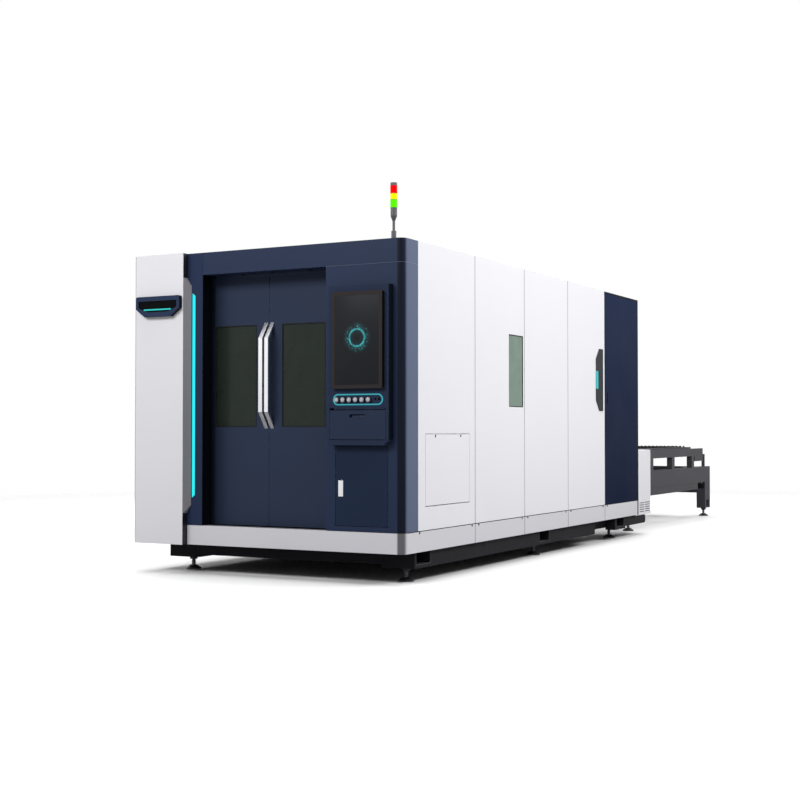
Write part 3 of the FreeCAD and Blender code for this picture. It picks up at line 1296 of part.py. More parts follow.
def check():
    """Stop if any object failed or any node is empty or invalid."""
    DOCUMENT.recompute()
    for thing in DOCUMENT.Objects:
        if "Invalid" in thing.State or "Error" in thing.State:
            raise RuntimeError(f"{thing.Label} did not recompute: {thing.State}")
    for node in NODES:
        if node.Shape.isNull() or not node.Shape.isValid() or not node.Shape.Solids:
            raise RuntimeError(f"{node.Label} has no valid shape")


def write():
    os.makedirs("parts", exist_ok=True)
    for node in NODES:
        node.Shape.exportStep(os.path.join("parts", f"{node.Label}.step"))


build()
check()
write()
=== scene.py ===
"""Looks of an enclosed fiber laser cutting machine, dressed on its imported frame.

X runs to the operator's right, Y from the operator to the exchange table and Z up, in metres.
Each sub-assembly is a class: its fields are the sizes of the pieces it adds, its places are
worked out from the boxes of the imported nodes, and its finishes are built from shader nodes.
"""
import logging
import math
from dataclasses import dataclass
from enum import Enum
from functools import lru_cache
from typing import Callable, Iterable, Sequence

import bpy
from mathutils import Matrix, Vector


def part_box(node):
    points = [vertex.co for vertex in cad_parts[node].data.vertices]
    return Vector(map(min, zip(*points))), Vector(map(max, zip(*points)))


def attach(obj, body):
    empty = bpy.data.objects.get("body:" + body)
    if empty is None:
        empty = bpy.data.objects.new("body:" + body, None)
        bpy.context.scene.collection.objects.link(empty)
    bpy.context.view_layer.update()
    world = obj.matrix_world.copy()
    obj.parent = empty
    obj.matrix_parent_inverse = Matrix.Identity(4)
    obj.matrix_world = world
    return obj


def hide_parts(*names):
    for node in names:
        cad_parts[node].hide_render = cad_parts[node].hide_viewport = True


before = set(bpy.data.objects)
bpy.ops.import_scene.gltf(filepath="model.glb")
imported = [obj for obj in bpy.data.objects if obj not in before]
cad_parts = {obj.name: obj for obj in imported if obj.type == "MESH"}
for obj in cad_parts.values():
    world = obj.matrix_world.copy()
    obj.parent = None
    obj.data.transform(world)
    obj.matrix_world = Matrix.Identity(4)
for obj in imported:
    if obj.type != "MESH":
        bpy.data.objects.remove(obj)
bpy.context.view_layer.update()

LOG = logging.getLogger("laser_cutting_machine")
Colour = tuple[float, float, float]
Socket = bpy.types.NodeSocket
Corner = Vector | tuple[float, float, float]


class Axis(Enum):
    """The three directions of the machine's frame."""

    X = 0
    Y = 1
    Z = 2

    @classmethod
    def of(cls, way: Vector) -> "Axis":
        """The axis that a direction runs along."""
        return max(cls, key=lambda axis: abs(way[axis.value]))

    def vector(self, length: float = 1.0) -> Vector:
        """A vector of the given length along this axis."""
        return Vector(length if place == self.value else 0.0 for place in range(3))

    def both_ways(self) -> tuple[Vector, Vector]:
        """The two directions along this axis."""
        return self.vector(), self.vector(-1.0)

    def row(self, pitch: float, count: int) -> list[Vector]:
        """Moves from the first of a row of equal pieces to each of the others."""
        return [self.vector(pitch * number) for number in range(1, count)]


def srgb(red: int, green: int, blue: int) -> Colour:
    """Turn a colour as a screen shows it into the linear one that shaders take.

    Args:
        red: Red part, 0 to 255.
        green: Green part, 0 to 255.
        blue: Blue part, 0 to 255.

    Returns:
        The linear colour.
    """
    def linear(part: int) -> float:
        """One part made linear, with the constants of the sRGB curve."""
        share = part / 255
        return share / 12.92 if share <= 0.04045 else ((share + 0.055) / 1.055) ** 2.4

    return linear(red), linear(green), linear(blue)


NO_LIGHT = (0.0, 0.0, 0.0)
WHITE_LIGHT = (1.0, 1.0, 1.0)
RUBBED_GREY = srgb(205, 205, 208)
DUST_GREY = srgb(150, 148, 144)
RUST_BROWN = srgb(74, 56, 46)
SPATTER_GREY = srgb(96, 96, 98)


# ---------------------------------------------------------------------------------------------
# Shader nodes
# ---------------------------------------------------------------------------------------------
class NodeSheet:
    """A node tree with short ways to add and join its nodes."""

    noise_span = (0.3, 0.7)

    def __init__(self, tree: bpy.types.NodeTree) -> None:
        """Keep the tree that the nodes go into."""
        self.tree = tree

    @classmethod
    def cleared(cls, owner: bpy.types.Material | bpy.types.World) -> "NodeSheet":
        """Start on the emptied tree of a material or a world.

        Args:
            owner: What the tree belongs to.

        Returns:
            The sheet.
        """
        owner.use_nodes = True
        owner.node_tree.nodes.clear()
        return cls(owner.node_tree)

    def add(self, kind: str, settings: dict | None = None, **sockets: object) -> bpy.types.Node:
        """Add a node, set its properties, and fill or join its input sockets.

        Args:
            kind: Blender's type name of the node.
            settings: Properties of the node itself.
            sockets: Inputs by name, as fill takes them.

        Returns:
            The new node.
        """
        node = self.tree.nodes.new(kind)
        for name, setting in (settings or {}).items():
            setattr(node, name, setting)
        return self.fill(node, **sockets)

    def fill(self, node: bpy.types.Node, **sockets: object) -> bpy.types.Node:
        """Fill or join several inputs of a node.

        Args:
            node: The node.
            sockets: Inputs by name, with spaces written as underscores: values or output sockets.

        Returns:
            The same node.
        """
        for name, content in sockets.items():
            self.feed(node, name.replace("_", " "), content)
        return node

    def feed(self, node: bpy.types.Node, name: str | int, content: object) -> None:
        """Give an input a value, or join an output to it.

        Args:
            node: The node.
            name: Name or number of the input.
            content: A value, a colour or an output socket.
        """
        socket = node.inputs[name]
        if isinstance(content, Socket):
            self.tree.links.new(content, socket)
        elif socket.type == "RGBA" and len(content) == 3:
            socket.default_value = (*content, 1.0)
        else:
            socket.default_value = content

    def sum(self, operation: str, first: object, second: object = 0.0) -> Socket:
        """Join two values by a math operation.

        Args:
            operation: Blender's name of the operation.
            first: First value or socket.
            second: Second value or socket.

        Returns:
            The result's socket.
        """
        node = self.add("ShaderNodeMath", {"operation": operation})
        self.feed(node, 0, first)
        self.feed(node, 1, second)
        return node.outputs[0]

    def product(self, first: object, second: object) -> Socket:
        """One value times another."""
        return self.sum("MULTIPLY", first, second)

    def distance(self, first: object, second: object) -> Socket:
        """How far one value lies from another."""
        return self.sum("ABSOLUTE", self.sum("SUBTRACT", first, second))

    def ramp(self, value: Socket, low: float, high: float, to_low: float = 0.0,
             to_high: float = 1.0) -> Socket:
        """Map a value from one range to another, clamped.

        Args:
            value: The value's socket.
            low: Where the first range starts.
            high: Where the first range ends.
            to_low: What its start becomes.
            to_high: What its end becomes.

        Returns:
            The mapped value's socket.
        """
        node = self.add("ShaderNodeMapRange", {"clamp": True}, Value=value, From_Min=low, From_Max=high,
                        To_Min=to_low, To_Max=to_high)
        return node.outputs["Result"]

    def wander(self, noise: Socket, low: float, high: float) -> Socket:
        """Spread the middle values of a noise over a range."""
        return self.ramp(noise, *self.noise_span, low, high)

    def blend(self, share: object, first: object, second: object) -> Socket:
        """Mix two colours.

        Args:
            share: Share of the second colour, from 0 to 1.
            first: First colour.
            second: Second colour.

        Returns:
            The mixed colour's socket.
        """
        node = self.add("ShaderNodeMix", {"data_type": "RGBA"})
        for number, content in ((0, share), (6, first), (7, second)):
            self.feed(node, number, content)
        return node.outputs[2]

    def toned(self, colour: object, tone: Socket) -> Socket:
        """A colour made darker or paler by a factor."""
        return self.add("ShaderNodeHueSaturation", Color=colour, Value=tone).outputs["Color"]

    def place(self) -> Socket:
        """Where a point lies on the machine, in metres."""
        return self.add("ShaderNodeTexCoord").outputs["Object"]

    def parts(self, vector: Socket) -> Sequence[Socket]:
        """The three parts of a vector."""
        return self.add("ShaderNodeSeparateXYZ", Vector=vector).outputs

    def noise(self, scale: object, detail: float, vector: Socket | None = None, **more: float) -> Socket:
        """A cloudy pattern that stays on the machine, or on other coordinates if they are given."""
        spot = self.place() if vector is None else vector
        return self.add("ShaderNodeTexNoise", Vector=spot, Scale=scale, Detail=detail, **more).outputs["Fac"]

    def cells(self, scale: float) -> Socket:
        """Distance to the nearest of many scattered points."""
        return self.add("ShaderNodeTexVoronoi", Vector=self.place(), Scale=scale).outputs["Distance"]

    def effect(self, tree: bpy.types.NodeTree, **values: float) -> Sequence[Socket]:
        """Place a shared effect with a finish's own values, and give its outputs."""
        return self.add("ShaderNodeGroup", {"node_tree": tree}, **values).outputs

    def relief(self, height: Socket, strength: float, normal: Socket | None = None,
               depth: float = 0.0005) -> Socket:
        """Turn heights into a bumped normal.

        Args:
            height: The heights' socket.
            strength: How strongly they show.
            normal: Normal that the bumps stand on, if it isn't the surface's own.
            depth: Height, in metres, that a full value stands for.

        Returns:
            The bumped normal's socket.
        """
        ground = {} if normal is None else {"Normal": normal}
        return self.add("ShaderNodeBump", Strength=strength, Distance=depth, Height=height,
                        **ground).outputs["Normal"]


class EffectGroup:
    """A shader node group that several finishes share."""

    def __init__(self, name: str, inputs: dict[str, float], outputs: dict[str, str]) -> None:
        """Make the group with its named sockets.

        Args:
            name: Name of the group.
            inputs: Input names and their usual values.
            outputs: Output names and their kinds, Float or Vector.
        """
        self.tree = bpy.data.node_groups.new(name, "ShaderNodeTree")
        for label, usual in inputs.items():
            socket = self.tree.interface.new_socket(label, in_out="INPUT", socket_type="NodeSocketFloat")
            socket.default_value = usual
        for label, kind in outputs.items():
            self.tree.interface.new_socket(label, in_out="OUTPUT", socket_type=f"NodeSocket{kind}")
        self.sheet = NodeSheet(self.tree)
        self.inputs = self.tree.nodes.new("NodeGroupInput").outputs
        self.outputs = self.tree.nodes.new("NodeGroupOutput")

    def give(self, **sockets: Socket) -> bpy.types.NodeTree:
        """Send sockets out of the group, and give the finished group."""
        self.sheet.fill(self.outputs, **sockets)
        return self.tree


@lru_cache
def coat_grain() -> bpy.types.NodeTree:
    """Fine orange peel of a powder coat, and slow changes of its tone.

    Returns:
        The group, with a height and a tone.
    """
    group = EffectGroup("coat_grain", {"Scale": 900.0}, {"Height": "Float", "Tone": "Float"})
    peel = group.sheet.noise(group.inputs["Scale"], 2.0)
    slow_change = group.sheet.noise(1.7, 3.0, Roughness=0.6)
    return group.give(Height=peel, Tone=slow_change)


@lru_cache
def soft_edges() -> bpy.types.NodeTree:
    """Normals rounded at the edges, and a mask of the edges that hands and tools rub.

    Returns:
        The group, with a normal and a mask.
    """
    group = EffectGroup("soft_edges", {"Radius": 0.002}, {"Normal": "Vector", "Rub": "Float"})
    sheet = group.sheet
    rounded = sheet.add("ShaderNodeBevel", {"samples": 4}, Radius=group.inputs["Radius"]).outputs["Normal"]
    match = sheet.add("ShaderNodeVectorMath", {"operation": "DOT_PRODUCT"})
    sheet.feed(match, 0, rounded)
    sheet.feed(match, 1, sheet.add("ShaderNodeNewGeometry").outputs["Normal"])
    edge = sheet.ramp(match.outputs["Value"], 0.99, 0.80)
    patches = sheet.ramp(sheet.noise(35.0, 4.0), 0.45, 0.65)
    return group.give(Normal=rounded, Rub=sheet.product(edge, patches))


@lru_cache
def settled_dust() -> bpy.types.NodeTree:
    """Dust that lies on faces that look up, and near the floor.

    Returns:
        The group, with a mask.
    """
    group = EffectGroup("settled_dust", {"Amount": 0.3}, {"Mask": "Float"})
    sheet = group.sheet
    normal = sheet.add("ShaderNodeNewGeometry").outputs["Normal"]
    upward = sheet.ramp(sheet.parts(normal)["Z"], 0.6, 1.0)
    near_floor = sheet.ramp(sheet.parts(sheet.place())["Z"], 0.30, 0.0, 0.0, 0.5)
    clouds = sheet.ramp(sheet.noise(6.0, 6.0, Roughness=0.65), 0.35, 0.75)
    lying = sheet.product(sheet.sum("MAXIMUM", upward, near_floor), clouds)
    return group.give(Mask=sheet.product(lying, group.inputs["Amount"]))


@lru_cache
def brushed_lines() -> bpy.types.NodeTree:
    """Fine lines of a brushed metal, drawn out along one direction.

    Returns:
        The group, with a height and a streak.
    """
    shares = {f"Along {axis.name}": 1.0 for axis in Axis}
    group = EffectGroup("brushed_lines", {**shares, "Scale": 600.0}, {"Height": "Float", "Streak": "Float"})
    sheet = group.sheet
    stretch = sheet.add("ShaderNodeCombineXYZ",
                        **{axis.name: group.inputs[f"Along {axis.name}"] for axis in Axis})
    drawn = sheet.add("ShaderNodeVectorMath", {"operation": "MULTIPLY"})
    sheet.feed(drawn, 0, sheet.place())
    sheet.feed(drawn, 1, stretch.outputs["Vector"])
    lines = sheet.noise(group.inputs["Scale"], 3.0, drawn.outputs["Vector"])
    return group.give(Height=lines, Streak=sheet.noise(40.0, 4.0, drawn.outputs["Vector"]))


# ---------------------------------------------------------------------------------------------
# Finishes
# ---------------------------------------------------------------------------------------------
@dataclass(frozen=True)
class Bands:
    """Colours that change at given places along one axis of the machine.

    Attributes:
        axis: Direction along which the colours follow each other.
        edges: Places, in metres, where one colour ends and the next begins.
        colours: One colour more than there are edges.
        soft: Half the width, in metres, over which one colour turns into the next.
    """

    axis: Axis
    edges: tuple[float, ...]
    colours: tuple[Colour, ...]
    soft: float = 0.0

    def socket(self, sheet: NodeSheet) -> Socket:
        """Draw the bands.

        Args:
            sheet: Where the nodes go.

        Returns:
            The colour's socket.
        """
        along = sheet.parts(sheet.place())[self.axis.value]
        result: object = self.colours[0]
        for edge, colour in zip(self.edges, self.colours[1:]):
            beyond = (sheet.ramp(along, edge - self.soft, edge + self.soft) if self.soft
                      else sheet.sum("GREATER_THAN", along, edge))
            result = sheet.blend(beyond, result, colour)
        return result


@dataclass(frozen=True)
class Finish:
    """What every finish has.

    Attributes:
        name: Name of its material.
        colour: One colour, or bands of colour.
        roughness: Roughness of the face, 0 for a mirror.
    """

    name: str
    colour: Colour | Bands
    roughness: float = 0.45

    def build(self) -> bpy.types.Material:
        """Make the material.

        Returns:
            The material, its shader filled as the finish says.
        """
        made = bpy.data.materials.new(self.name)
        sheet = NodeSheet.cleared(made)
        shader = sheet.add("ShaderNodeBsdfPrincipled", **self.face(sheet))
        sheet.add("ShaderNodeOutputMaterial", Surface=shader.outputs[0])
        return made

    def face(self, sheet: NodeSheet) -> dict[str, object]:
        """The shader's inputs by name; each kind of finish draws its own."""
        raise NotImplementedError

    def tint(self, sheet: NodeSheet) -> object:
        """The plain colour, or the colour of the bands."""
        return self.colour.socket(sheet) if isinstance(self.colour, Bands) else self.colour

    def around(self, low: float, high: float) -> tuple[float, float]:
        """The range between two shares of the finish's roughness."""
        return self.roughness * low, self.roughness * high


@dataclass(frozen=True)
class PowderCoat(Finish):
    """Satin powder coat with a fine peel, rubbed edges and a little dust.

    Attributes:
        grain: Strength of the orange peel.
        rubbed: How much paler the rubbed edges are, 0 to 1.
        dust: Amount of dust on faces that look up.
        specular: Specular level of the lacquer.
        edge: Radius, in metres, that the edges are rounded by.
        mottle: How far the tone wanders up and down, 0 to 1.
        dust_rough: How much rougher full dust makes the face.
    """

    grain: float = 0.05
    rubbed: float = 0.15
    dust: float = 0.15
    specular: float = 0.5
    edge: float = 0.0025
    mottle: float = 0.05
    dust_rough: float = 0.3

    def face(self, sheet: NodeSheet) -> dict[str, object]:
        """Draw the coat.

        Args:
            sheet: Where the nodes go.

        Returns:
            The shader's inputs by name.
        """
        grain = sheet.effect(coat_grain(), Scale=900.0)
        edges = sheet.effect(soft_edges(), Radius=self.edge)
        dust = sheet.effect(settled_dust(), Amount=self.dust)["Mask"]
        tone = sheet.wander(grain["Tone"], 1.0 - self.mottle, 1.0 + self.mottle)
        colour = sheet.toned(self.tint(sheet), tone)
        colour = sheet.blend(sheet.product(edges["Rub"], self.rubbed), colour, RUBBED_GREY)
        rough = sheet.wander(grain["Tone"], *self.around(0.92, 1.1))
        return {"Base_Color": sheet.blend(dust, colour, DUST_GREY),
                "Roughness": sheet.sum("ADD", rough, sheet.product(dust, self.dust_rough)),
                "Specular_IOR_Level": self.specular,
                "Normal": sheet.relief(grain["Height"], self.grain, edges["Normal"])}


@dataclass(frozen=True)
class Metal(Finish):
    """Bare or polished metal with lines drawn along one direction.

    Attributes:
        along: Direction of the lines.
        lines: Strength of the lines in relief.
        streak: How much the roughness changes along them.
        drawn: How much shorter than wide the pattern is before it is drawn out.
    """

    along: Axis = Axis.Z
    lines: float = 0.06
    streak: float = 0.12
    drawn: float = 0.04

    def face(self, sheet: NodeSheet) -> dict[str, object]:
        """Draw the metal.

        Args:
            sheet: Where the nodes go.

        Returns:
            The shader's inputs by name.
        """
        stretch = {f"Along_{axis.name}": self.drawn if axis is self.along else 1.0 for axis in Axis}
        brushed = sheet.effect(brushed_lines(), Scale=500.0, **stretch)
        edges = sheet.effect(soft_edges(), Radius=0.0015)
        return {"Base_Color": sheet.toned(self.tint(sheet), sheet.wander(brushed["Streak"], 0.9, 1.05)),
                "Roughness": sheet.wander(brushed["Streak"], self.roughness, self.roughness + self.streak),
                "Metallic": 1.0,
                "Normal": sheet.relief(brushed["Height"], self.lines, edges["Normal"])}


@dataclass(frozen=True)
class MillScale(Finish):
    """Dark rolled steel with scale, spatter and a little rust, as on cutting slats.

    Attributes:
        rust: How much the rust shows where it is thickest, 0 to 1.
        spatter: How much the drops of spatter show, 0 to 1.
        dull: Roughness of the scale where it is thickest.
        relief: Strength of scale and drops in relief.
    """

    rust: float = 0.5
    spatter: float = 0.35
    dull: float = 0.8
    relief: float = 0.35

    def face(self, sheet: NodeSheet) -> dict[str, object]:
        """Draw the scale.

        Args:
            sheet: Where the nodes go.

        Returns:
            The shader's inputs by name.
        """
        scale = sheet.noise(60.0, 6.0, Roughness=0.7)
        drops = sheet.ramp(sheet.cells(220.0), 0.30, 0.12)
        rust = sheet.ramp(scale, 0.58, 0.72, 0.0, self.rust)
        colour = sheet.blend(rust, self.tint(sheet), RUST_BROWN)
        return {"Base_Color": sheet.blend(sheet.product(drops, self.spatter), colour, SPATTER_GREY),
                "Roughness": sheet.wander(scale, self.roughness, self.dull),
                "Metallic": sheet.ramp(scale, 0.4, 0.7, 0.5, 0.1),
                "Normal": sheet.relief(sheet.sum("ADD", scale, drops), self.relief)}


@dataclass(frozen=True)
class Moulded(Finish):
    """Moulded plastic or rubber with a fine spark grain.

    Attributes:
        grain: Strength of the grain.
        glow: Strength of light that the plastic gives by itself.
        specular: Specular level of its face.
        dimmed: Share of its colour that glowing plastic keeps for outer light.
    """

    grain: float = 0.08
    glow: float = 0.0
    specular: float = 0.5
    dimmed: float = 0.2

    def face(self, sheet: NodeSheet) -> dict[str, object]:
        """Draw the plastic.

        Args:
            sheet: Where the nodes go.

        Returns:
            The shader's inputs by name.
        """
        grain = sheet.effect(coat_grain(), Scale=1600.0)["Height"]
        edges = sheet.effect(soft_edges(), Radius=0.001)
        colour = sheet.toned(self.tint(sheet), sheet.wander(grain, 0.94, 1.05))
        light = {"Base_Color": sheet.blend(self.dimmed, NO_LIGHT, colour), "Emission_Color": colour,
                 "Emission_Strength": self.glow} if self.glow else {}
        return {"Base_Color": colour,
                "Roughness": sheet.wander(grain, *self.around(0.9, 1.1)),
                "Specular_IOR_Level": self.specular,
                "Normal": sheet.relief(grain, self.grain, edges["Normal"]), **light}


@dataclass(frozen=True)
class TintedGlass(Finish):
    """Laser safety glass: deep tint, a smooth face and faint wipe marks.

    Attributes:
        cover: How much the tint hides, 0 to 1.
        specular: Specular level of its face.
        smear: How much rougher the wipe marks are.
    """

    cover: float = 0.9
    specular: float = 0.3
    smear: float = 0.05

    def face(self, sheet: NodeSheet) -> dict[str, object]:
        """Draw the glass.

        Args:
            sheet: Where the nodes go.

        Returns:
            The shader's inputs by name.
        """
        wipes = sheet.noise(5.0, 5.0, Distortion=1.2)
        return {"Base_Color": sheet.toned(self.tint(sheet), sheet.wander(wipes, 0.92, 1.06)),
                "Roughness": sheet.ramp(wipes, 0.4, 0.7, self.roughness, self.roughness + self.smear),
                "Alpha": self.cover, "Specular_IOR_Level": self.specular}


@dataclass(frozen=True)
class ScreenGlass(Finish):
    """Dark display that shows a ring gauge with a spray of dots round it.

    Attributes:
        centre: Middle of the ring across the machine and in height, in metres.
        radius: Radius of the ring, in metres.
        light: Colour of the ring.
        specular: Specular level of its face.
        line: Radius of the bright line, as a share of the ring's.
        line_width: Half the width of the bright line, as a share of the ring's radius.
        rays: Number of rays in the spray.
        dot_pitch: Distance, in metres, between the scattered dots.
        spray: Where the spray starts and ends, as shares of the ring's radius.
        halo: Brightness of the soft light round the ring.
    """

    centre: tuple[float, float] = (0.0, 0.0)
    radius: float = 0.05
    light: Colour = (0.0, 0.5, 0.6)
    specular: float = 0.2
    line: float = 0.95
    line_width: float = 0.14
    rays: float = 22.0
    dot_pitch: float = 0.0105
    spray: tuple[float, float] = (1.10, 1.65)
    halo: float = 0.05

    def face(self, sheet: NodeSheet) -> dict[str, object]:
        """Draw the display.

        Args:
            sheet: Where the nodes go.

        Returns:
            The shader's inputs by name.
        """
        spot = sheet.parts(sheet.place())
        across = sheet.sum("SUBTRACT", spot["X"], self.centre[0])
        up = sheet.sum("SUBTRACT", spot["Z"], self.centre[1])
        away = sheet.sum("SQRT", sheet.sum("ADD", sheet.product(across, across), sheet.product(up, up)))
        flicker = sheet.noise(150.0, 2.0)
        width = self.radius * self.line_width
        ring = sheet.product(sheet.ramp(sheet.distance(away, self.radius * self.line), width, width * 0.5),
                             sheet.ramp(flicker, 0.42, 0.58, 0.2, 1.0))
        halo = sheet.ramp(sheet.distance(away, self.radius), self.radius * 0.8, 0.0, 0.0, self.halo)
        light = sheet.sum("ADD", ring, sheet.sum("ADD", self.dots(sheet, away, up, across), halo))
        return {"Base_Color": self.tint(sheet),
                "Roughness": sheet.wander(flicker, self.roughness, self.roughness + 0.04),
                "Specular_IOR_Level": self.specular,
                "Emission_Color": sheet.blend(light, NO_LIGHT, self.light), "Emission_Strength": 1.0}

    def dots(self, sheet: NodeSheet, away: Socket, up: Socket, across: Socket) -> Socket:
        """Draw the spray of dots that thins out from the ring.

        Args:
            sheet: Where the nodes go.
            away: Distance from the ring's middle.
            up: Its part in height.
            across: Its part across the machine.

        Returns:
            The dots' brightness.
        """
        start, end = (self.radius * share for share in self.spray)
        dots = sheet.ramp(sheet.cells(1.0 / self.dot_pitch), 0.30, 0.42, 1.0, 0.0)
        turns = sheet.product(sheet.sum("ARCTAN2", up, across), self.rays)
        rays = sheet.ramp(sheet.sum("SINE", turns), -0.9, 0.9, 0.25, 1.0)
        reach = sheet.product(sheet.ramp(away, start, end, 1.0, 0.0), sheet.sum("GREATER_THAN", away, start))
        return sheet.product(sheet.product(rays, dots), reach)


@lru_cache
def material(finish: Finish) -> bpy.types.Material:
    """The material of a finish, built once."""
    return finish.build()


# Just inside a face that looks along X or Y, so that a band which starts here paints that face alone.
SKIN = 0.0006
# Across the machine, where the rounded front corner starts and where it meets the right side.
CORNER_EDGES = (1.004, 1.049)
# A coat without rub marks or dust, nearly even in tone.
CLEAN = {"rubbed": 0.0, "dust": 0.0, "mottle": 0.008}
# Bevel on the edges of the window gaskets.
GASKET_EDGE = 0.0006
# Width of the step where a face is sunk or raised straight.
STEP = 0.0001

WHITE = PowderCoat("white_powder_coat", srgb(238, 237, 242), 0.42, **CLEAN)
# The roof is painted greyer than the walls' white, as painted shade against the strong light from above; its
# dust is real.
ROOF_PAINTED_SHADE_GREY = PowderCoat("roof_powder_coat", srgb(200, 200, 205), 0.5, rubbed=0.0, dust=0.3, mottle=0.008)
# The skirts are painted a little greyer than the panels above, as painted shade near the floor, and dark on
# the rounded front corner, as a painted reflection.
SKIRT_GREYS_PAINTED_SHADE_AND_REFLECTION = (srgb(224, 223, 229), srgb(98, 97, 102), srgb(230, 229, 235))
SKIRT_BANDS_PAINTED_SHADE_AND_REFLECTION = Bands(Axis.X, CORNER_EDGES, SKIRT_GREYS_PAINTED_SHADE_AND_REFLECTION, 0.005)
SKIRT_WHITE = PowderCoat("skirt_powder_coat", SKIRT_BANDS_PAINTED_SHADE_AND_REFLECTION, 0.42, **CLEAN)
# Grey on the white column's folded edge: painted shade.
FOLD_PAINTED_SHADE_GREY = srgb(176, 175, 180)
FRONT_NAVY = srgb(39, 51, 78)
# On the header and pillar, the rounded front corner is painted dark as a painted reflection, and the right
# side paler navy as painted light.
NAVY_BANDS_PAINTED_REFLECTION_AND_LIGHT = Bands(Axis.X, CORNER_EDGES, (FRONT_NAVY, srgb(10, 17, 33), srgb(92, 103, 129)), 0.003)
NAVY = PowderCoat("navy_powder_coat", NAVY_BANDS_PAINTED_REFLECTION_AND_LIGHT, 0.38, specular=0.12, mottle=0.03)
# The fold under the header is a real strip; its pale colour, paler on the right side where the light falls,
# is a painted highlight.
LIP_PAINTED_HIGHLIGHT_BANDS = Bands(Axis.X, CORNER_EDGES[1:], (srgb(92, 103, 130), srgb(140, 152, 178)))
NAVY_LIP_PAINTED_HIGHLIGHT = PowderCoat("navy_fold", LIP_PAINTED_HIGHLIGHT_BANDS, 0.35, specular=0.3)
DOOR_NAVY = PowderCoat("door_powder_coat", srgb(48, 58, 80), 0.4, specular=0.08, mottle=0.03)
CONSOLE_NAVY = PowderCoat("console_powder_coat", srgb(44, 54, 77), 0.4, specular=0.06, mottle=0.03)
CASE_NAVY = PowderCoat("case_powder_coat", srgb(36, 48, 71), 0.4, specular=0.06, mottle=0.03)
# The rear side door is painted darker towards the bottom: painted shade.
REAR_BANDS_PAINTED_SHADE = Bands(Axis.Z, (1.30,), (srgb(10, 22, 48), srgb(22, 36, 66)), 1.0)
REAR_NAVY_PAINTED_SHADE = PowderCoat("rear_door_powder_coat", REAR_BANDS_PAINTED_SHADE, 0.5, specular=0.02, mottle=0.03)
# Its colour also paints the shade on turned-in faces of the column and the badge.
DEEP_NAVY = PowderCoat("return_powder_coat", srgb(12, 16, 27), 0.5, specular=0.02, mottle=0.03)
BASE_BLACK = PowderCoat("base_black_paint", srgb(38, 37, 41), 0.6, specular=0.06, dust=0.05)
TABLE_GREY = PowderCoat("table_grey_paint", srgb(76, 75, 81), 0.5, specular=0.08, dust=0.05)
INNER_GREY = PowderCoat("inner_grey_paint", srgb(92, 94, 98), 0.5, dust=0.25)
TRACK_DARK = PowderCoat("track_dark_coat", srgb(24, 26, 31), 0.5, specular=0.15)
TRIM_BANDS = Bands(Axis.X, (0.0,), (srgb(142, 139, 145), srgb(18, 21, 30)))
TRIM = PowderCoat("facet_and_chevron_coat", TRIM_BANDS, 0.45, specular=0.12)
TOWER_GREY = PowderCoat("tower_grey", srgb(82, 81, 88), 0.4, mottle=0.02)
RING_GREY = PowderCoat("ring_grey", srgb(70, 70, 76), 0.4)
HANDLE_STEEL = Metal("handle_steel", srgb(236, 236, 240), 0.22)
BRIGHT_STEEL = Metal("bright_steel", srgb(176, 177, 182), 0.26, along=Axis.X)
CAST_IRON = Metal("foot_cast_iron", srgb(70, 70, 74), 0.5, lines=0.2)
ZINC = Metal("zinc_screws", srgb(150, 150, 154), 0.38)
BLACK_STEEL = Metal("blackened_screws", srgb(44, 44, 48), 0.45)
COPPER = Metal("nozzle_copper", srgb(190, 120, 84), 0.28)
SLAT_STEEL = MillScale("slat_mill_scale", srgb(28, 28, 30), 0.55)
DOOR_GLASS = TintedGlass("door_safety_glass", srgb(45, 53, 48), 0.16, cover=0.93, specular=0.12)
SIDE_GLASS = TintedGlass("side_safety_glass", srgb(118, 140, 126), 0.12, cover=0.96, specular=0.15)
# The strip on the jamb, the ring round the buttons and the bar on the right side, from left to right.
STRIP_BANDS = Bands(Axis.X, (0.0, 1.03), (srgb(44, 244, 250), srgb(60, 168, 180), srgb(40, 186, 192)))
STRIP_LIGHT = Moulded("strip_light", STRIP_BANDS, 0.4, grain=0.02, glow=0.86, specular=0.1)
LINE_LIGHT = Moulded("badge_light", srgb(52, 202, 198), 0.4, grain=0.02, glow=0.86, specular=0.1)
RUBBER = Moulded("black_rubber", srgb(24, 26, 27), 0.7, grain=0.2, specular=0.2)
SEAL_BLACK = Moulded("seal_rubber", srgb(30, 30, 33), 0.8, grain=0.1, specular=0.05)
KEY_GREY = Moulded("key_grey", srgb(96, 98, 102), 0.5)
SLOT_BLACK = Moulded("slot_black", srgb(6, 7, 9), 0.8, specular=0.05)
BADGE_BLACK = Moulded("badge_black", srgb(6, 7, 9), 0.35, specular=0.04)
CHAIN_BLACK = Moulded("chain_black", srgb(32, 33, 36), 0.5)


